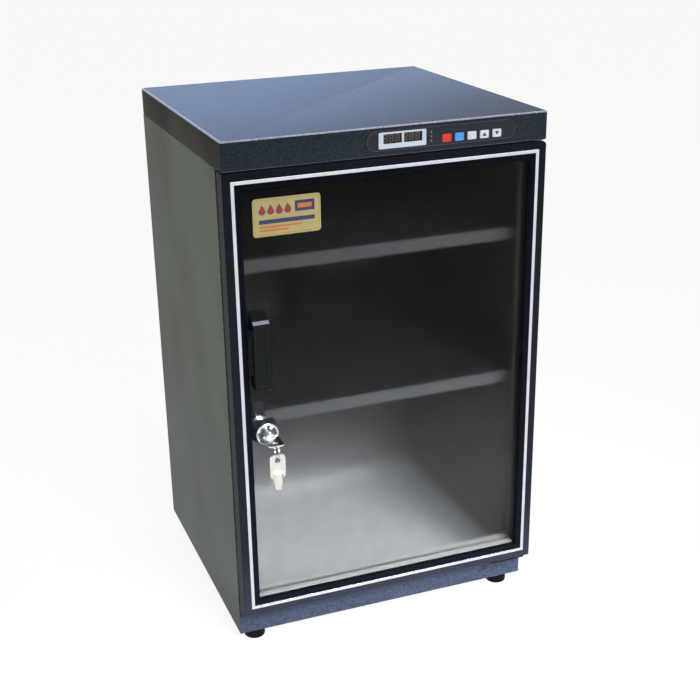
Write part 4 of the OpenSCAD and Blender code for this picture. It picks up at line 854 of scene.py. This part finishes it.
def lock_profile():
    """Half section of the case, from the bore round the threaded barrel to the ring and its dish: the
    thread is a row of flats that step between crest and root every half pitch."""
    back = (lock_high[1] - door_front) / MM
    crest, root, pitch, first, run_out = 9.5, 9.0, 1.0, 8.0, 1.2
    turns = np.arange(first, back - run_out, pitch)
    thread = np.stack([np.stack([np.full_like(turns, r), turns + rise * pitch], 1)
                       for r, rise in ((crest, 0.0), (crest, 0.2), (root, 0.5), (root, 0.7))], 1)
    thread = thread.reshape(-1, 2)[::-1]
    return np.concatenate([
        [(7.05, back), (9.1, back), (9.5, back - 0.4)], thread, [(crest, 7.4), (crest, 2.75), (13.8, 2.75)],
        arc((13.6, 2.35), 0.4, 90, 0, 2), arc((12.5, -3.5), 1.5, 0, -90, 8),
        arc((11.3, -4.7), 0.3, -90, -180, 3), [(10.8, -3.6)], arc((10.3, -3.6), 0.2, 0, 90, 2),
        [(7.35, -3.4), (7.05, -3.1)],
    ])


points, faces = revolve(lock_profile() * MM, lock_mid, inward, 96, closed=True)


def is_lock_dish(middles):
    """Faces of the dish inside the lock's bright ring, which take a dark copy of the chrome as painted
    reflection.
    """
    dish_r = 0.0109
    out = np.hypot(middles[:, 0] - lock_mid[0], middles[:, 2] - lock_mid[2])
    return ((out < dish_r) & (middles[:, 1] < door_front)).astype(int)


piece("lock_case_turned", points, faces, [finish["chrome"], finish["dark_dish"]], "door", ("lock_body",),
      pick=is_lock_dish, smooth=40)
# Painted highlights: the bevels along the lock block's and the core's arrises take a brighter metal than their
# faces
soften("lock_block", finish["black_zinc"], 0.0004, 2, edge=finish["dim_nickel"])
soften("lock_core", finish["dim_nickel"], 0.0002, 2, edge=finish["chrome"])
soften("lock_cam", finish["black_zinc"], 0.0003, 2)


def is_bright_part(middles):
    """Faces of the key's round collar and barrel, and of the rim round its flat bow. The key is one metal: the
    bow's flat faces take a dim copy as painted reflection, and the rim round them and the bevels the bright
    metal as painted highlight.
    """
    rim_half, bow_long = 0.0008, 0.0225
    low, high = span("door_key")
    rim = np.abs(middles[:, 2] - (low[2] + high[2]) / 2) < rim_half
    return ((middles[:, 1] > low[1] + bow_long) | rim).astype(int)


soften("door_key", [finish["dim_nickel"], finish["key_steel"]], 0.0004, 3, pick=is_bright_part,
       edge=finish["key_steel"])
soften("spare_key", finish["key_steel"], 0.0003, 3)

ring_low, ring_high = span("key_ring")
ring_mid = (ring_low + ring_high) / 2
wire_r = (ring_high[0] - ring_low[0]) / 2
ring_r = (ring_high[2] - ring_low[2]) / 2 - wire_r


def split_ring():
    """Flat wire wound twice side by side: the place along the axis goes from one side to the other in
    a soft step as the second turn begins, and the wire's section is a rectangle with round corners."""
    steps, end_gap, swiftness, start = 150, 0.25, 5, 0.62 * math.pi
    half_w, half_h, corner_r = 0.46 * wire_r, 0.95 * wire_r, 0.25 * wire_r
    turn = np.linspace(0, 4 * math.pi - end_gap, steps)
    over = 1 / (1 + np.exp(-(turn - 2 * math.pi) * swiftness))
    across = (over - 0.5) * wire_r
    section = rect(-half_w, -half_h, half_w, half_h, corner_r, 3)
    out = np.stack([np.zeros_like(turn), np.cos(turn + start), np.sin(turn + start)], 1)
    rings = ring_mid + out[:, None] * (ring_r + section[None, :, 1:]) \
        + (across[:, None] + section[None, :, 0])[..., None] * np.array((1.0, 0, 0))
    return loft(rings)


piece("split_ring", *split_ring(), finish["chrome"], node_body["key_ring"], ("key_ring",))


# Screws that clamp the handle, one above the other, seen from behind the glass
clamp_low, clamp_high = span("handle_screws")
clamp_head = (clamp_high[0] - clamp_low[0]) / 2
clamp_x = clamp_low[0] + clamp_head
screws("handle_screws", [(clamp_x, clamp_low[2] + clamp_head), (clamp_x, clamp_high[2] - clamp_head)],
       clamp_head, 0.0026, 0.002)


# Control panel

panel_low, panel_high = span("control_overlay")
soften("control_overlay", finish["film"], 0.0002, 2)
soften("display_bezel", finish["bezel"], 0.00035, 3)
bezel_low, bezel_high = span("display_bezel")


ink_thick, ink_weld = 0.00004, 0.000001
fine_weld = 0.000005


def printed(name, outlines, y, mat, body, slot):
    """Thin print on a face that looks to the front: a plate on each outline."""
    parts = [plate(np.asarray(o), y - ink_thick, y, ink_thick * 0.3, 1) for o in outlines]
    points, faces = joined(parts)
    piece(name, points, faces, mat, body, slot=slot, weld=ink_weld)


def band(name, outline, width, y, mat, body, slot):
    """Thin printed line along a closed outline: the outline and its copy moved in by the width, each
    at the face and just above it."""
    inner = shrink(outline, width)
    above = y - ink_thick
    rings = [at_y(outline, y), at_y(outline, above), at_y(inner, above), at_y(inner, y)]
    points, faces = loft(np.array(rings), wrap=True)
    piece(name, points, faces, mat, body, slot=slot, weld=ink_weld)


line_in, line_w = 0.0013, 0.0003
pill_r = (panel_high[2] - panel_low[2]) / 2 - line_in - weld_gap
pill = rect(panel_low[0] + line_in, panel_low[2] + line_in, panel_high[0] - line_in, panel_high[2] - line_in,
            pill_r, 20)
band("panel_outline", pill, line_w, panel_low[1], finish["line"], "cabinet", "overlay")

segment_w, segment_gap = 0.0011, 0.00018
digit_w, digit_tall, digit_lean, digit_shift, dot_out = 0.0052, 0.0088, 0.09, 0.0003, 0.0007
digits = 3


def segment_shapes(x, z):
    """Outlines of the seven bars of a digit and its point: each bar is a six-sided lozenge between
    two nodes of the figure, and everything leans to the right with its height."""
    half = segment_w / 2
    nodes_x = (-digit_w / 2 + half, digit_w / 2 - half)
    nodes_z = (-digit_tall / 2 + half, 0.0, digit_tall / 2 - half)
    bars = [((0, 2), (1, 2)), ((0, 1), (1, 1)), ((0, 0), (1, 0)),
            ((0, 1), (0, 2)), ((1, 1), (1, 2)), ((0, 0), (0, 1)), ((1, 0), (1, 1))]
    out = []
    for a, b in bars:
        p = np.array((nodes_x[a[0]], nodes_z[a[1]]))
        q = np.array((nodes_x[b[0]], nodes_z[b[1]]))
        way = (q - p) / np.linalg.norm(q - p)
        side = np.array((-way[1], way[0]))
        p, q = p + way * segment_gap, q - way * segment_gap
        shape = np.array((p, p + (way - side) * half, q - (way + side) * half, q,
                          q + (side - way) * half, p + (way + side) * half))
        shape[:, 0] += shape[:, 1] * digit_lean + x
        shape[:, 1] += z
        out.append(shape)
    a = np.linspace(0, 2 * math.pi, 10, endpoint=False)
    dot = np.array((x + digit_w / 2 + dot_out, z - digit_tall / 2 + half))
    out.append(dot + half * np.stack([np.cos(a), np.sin(a)], 1))
    return out


module_low, module_high = span("digit_modules")
window_w, window_side = 0.0226, 0.0057
window_x = [bezel_low[0] + window_side, bezel_high[0] - window_side - window_w]
window_z = (module_low[2] + module_high[2]) / 2
shapes = []
for x in window_x:
    for k in range(digits):
        shapes += segment_shapes(x + window_w * (k + 0.5) / digits - digit_shift, window_z)
printed("display_segments", shapes, module_low[1], finish["segment"], "cabinet", "display")


# Lamps: clear domes in the film

def lamps():
    """Rods with a domed front: the dome's height falls as the square of the distance from the middle."""
    low, high = span("indicator_lamps")
    rise, tip, count = 0.00035, 0.01, 3
    r = (high[0] - low[0]) / 2
    x = (low[0] + high[0]) / 2
    out = np.linspace(tip, 1, 8)
    profile = np.stack([np.append(out, 1) * r, np.append(-rise * (1 - out ** 2), high[1] - low[1])], 1)
    parts = [revolve(profile, (x, low[1], z), inward, 24) for z in np.linspace(low[2] + r, high[2] - r, count)]
    points, faces = joined(parts)
    piece("indicator_lamps_domed", points, faces, finish["lamp"], "cabinet", ("indicator_lamps",),
          weld=fine_weld)


lamps()

for key, colour in (("key_power", "red"), ("key_blue", "blue"), ("key_set", "white"),
                    ("key_up_arrow", "white"), ("key_down_arrow", "white")):
    soften(key, finish[colour], 0.00045, 3)


def arrow(key, way):
    """Solid triangle on a cap, its tip up or down."""
    low, high = span(key)
    x = (low[0] + high[0]) / 2
    z = (low[2] + high[2]) / 2
    half, tall, corner_r = 0.0029, 0.0042, 0.0002
    tip, base = z + way * tall / 2, z - way * tall / 2
    shape = np.array([(x - half, base), (x + half, base), (x, tip)][::way])
    printed(key + "_mark", [rounded(shape, corner_r, 2)], low[1], finish["ink"], node_body[key], "key_white")


arrow("key_up_arrow", 1)
arrow("key_down_arrow", -1)


# Label on the glass: film with a plain printed design

label_low, label_high = span("info_label")
label_face = rect(label_low[0], label_low[2], label_high[0], label_high[2], 0.004, 8)
piece("label_film", *plate(label_face, label_low[1], label_high[1], 0.0001, 2), finish["gold"], "door",
      ("info_label",), weld=fine_weld)


def on_label(x_share, z_share):
    """A place on the label by its shares of the width and the height."""
    return np.array((label_low[0] + (label_high[0] - label_low[0]) * x_share,
                     label_low[2] + (label_high[2] - label_low[2]) * z_share))


def bar(x0, z0, x1, z1, r=0.0006):
    """Outline of a bar between two places on the label."""
    a, b = on_label(x0, z0), on_label(x1, z1)
    return rect(a[0], a[1], b[0], b[1], r, 3)


drop_r, drop_row, drop_pinch, drop_stretch, drop_core = 0.0042, 0.66, 0.75, 1.7, 0.84


def drop(x_share, size):
    """A water drop: a circle whose upper half is drawn out to a tip, the width falling as the height
    rises by a cosine."""
    a = np.linspace(0, 2 * math.pi, 40, endpoint=False)
    rise = np.sin(a)
    wide = np.cos(a) * np.where(rise > 0, 1 - drop_pinch * rise, 1)
    tall = np.where(rise > 0, rise * drop_stretch, rise)
    return on_label(x_share, drop_row) + size * np.stack([wide, tall], 1)


edge_in, edge_r, edge_w = 0.0019, 0.0028, 0.00045
edge_line = rect(label_low[0] + edge_in, label_low[2] + edge_in, label_high[0] - edge_in,
                 label_high[2] - edge_in, edge_r, 6)
band("label_line", edge_line, edge_w, label_low[1], finish["orange"], "door", "label")
second_ink = label_low[1] - 0.75 * ink_thick
drops = np.linspace(0.14, 0.515, 4)
printed("label_drop_edges", [drop(x, drop_r) for x in drops], label_low[1], finish["navy"], "door", "label")
printed("label_drops", [drop(x, drop_r * drop_core) for x in drops], second_ink, finish["maroon"],
        "door", "label")
printed("label_bars", [bar(0.62, 0.58, 0.91, 0.86), bar(0.09, 0.33, 0.91, 0.44)], label_low[1],
        finish["navy"], "door", "label")
printed("label_lines", [bar(0.09, 0.22, 0.72, 0.27), bar(0.09, 0.13, 0.52, 0.18), bar(0.66, 0.66, 0.87, 0.78)],
        second_ink, finish["orange"], "door", "label")


# Floor, backdrop colour and lamps

def plain_sight(tree):
    """A mask of the rays that come from the camera, straight, by a mirror or through glass."""
    path = tree.nodes.new("ShaderNodeLightPath")
    first = add(tree, "ShaderNodeMath",
                [(path.outputs["Is Camera Ray"], 0), (path.outputs["Is Glossy Ray"], 1)],
                set_operation="MAXIMUM")
    second = add(tree, "ShaderNodeMath",
                 [(first.outputs[0], 0), (path.outputs["Is Transmission Ray"], 1)],
                 set_operation="MAXIMUM")
    return second.outputs[0]


def white_floor():
    """A wide pale floor, white to sight and in reflections but for the object's soft shadow."""
    glow_share, around, drop_below = 0.9, 96, 0.0001
    s = Shader("studio_floor")
    s.set(Base__Color=(0.9, 0.9, 0.9, 1), Roughness=0.9, Specular__IOR__Level=0.1)
    glow = s.node("ShaderNodeEmission", Color=(1, 1, 1, 1), Strength=1.0)
    share = s.node("ShaderNodeMapRange", To__Min=0.0, To__Max=glow_share)
    blend = s.node("ShaderNodeMixShader")
    s.link(plain_sight(s.tree), share.inputs["Value"])
    s.link(share.outputs[0], blend.inputs[0])
    s.link(s.skin.outputs[0], blend.inputs[1])
    s.link(glow.outputs[0], blend.inputs[2])
    s.link(blend.outputs[0], s.tree.nodes["Material Output"].inputs["Surface"])
    a = np.linspace(0, 2 * math.pi, around, endpoint=False)
    ring = np.stack([np.cos(a), np.sin(a), np.zeros(around)], 1)
    floor_z = cad_box[0][2] - drop_below
    rings = np.array([ring * r + (0, 0, floor_z) for r in (0.02, 1.0, 4.0, 14.0)])
    points, faces = loft(rings, ends=False)
    faces.append(list(range(around)))
    mesh = bpy.data.meshes.new("floor")
    mesh.from_pydata(points.tolist(), [], faces)
    tidy(mesh)
    mesh.materials.append(s.mat)
    made = bpy.data.objects.new("floor", mesh)
    bpy.context.scene.collection.objects.link(made)
    made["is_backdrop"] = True


def white_world():
    """An even white backdrop whose light on the object is weaker than its look."""
    light_level, sight_level = 0.4, 1.0
    world = bpy.data.worlds.new("studio")
    world.use_nodes = True
    bpy.context.scene.world = world
    level = add(world.node_tree, "ShaderNodeMapRange", [(plain_sight(world.node_tree), "Value")],
                To__Min=light_level, To__Max=sight_level)
    back = world.node_tree.nodes["Background"]
    back.inputs["Color"].default_value = (1, 1, 1, 1)
    world.node_tree.links.new(level.outputs[0], back.inputs["Strength"])


white_floor()
white_world()


def softbox(name, place, target, size, watts, colour, spread=180):
    """Lamp with a rectangular face turned to a point."""
    data = bpy.data.lights.new(name, "AREA")
    data.shape = "RECTANGLE"
    data.size, data.size_y = size
    data.energy = watts
    data.color = colour
    data.spread = math.radians(spread)
    lamp = bpy.data.objects.new(name, data)
    ahead = Vector(target) - Vector(place)
    lamp.matrix_world = Matrix.Translation(place) @ ahead.to_track_quat("-Z", "Y").to_matrix().to_4x4()
    bpy.context.scene.collection.objects.link(lamp)


middle = (0.0, 0.0, 0.35)
softbox("lamp_above", (0.72, -0.1, 2.4), middle, (1.6, 1.2), 20, (0.92, 0.96, 1.0))
softbox("lamp_behind", (1.0, 3.4, 1.4), (0.0, 0.0, 0.65), (2.4, 1.0), 1.7, (0.24, 0.49, 1.0), 50)
softbox("lamp_left", (-2.4, -0.6, 1.1), middle, (1.2, 1.6), 6.5, (0.98, 1.0, 0.94))
softbox("lamp_low", (0.2, -1.35, 0.95), (0.0, -0.08, -0.08), (1.0, 0.6), 5.5, (0.95, 0.97, 1.0), 44)

bpy.context.scene.view_settings.view_transform = "Standard"

low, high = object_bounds()
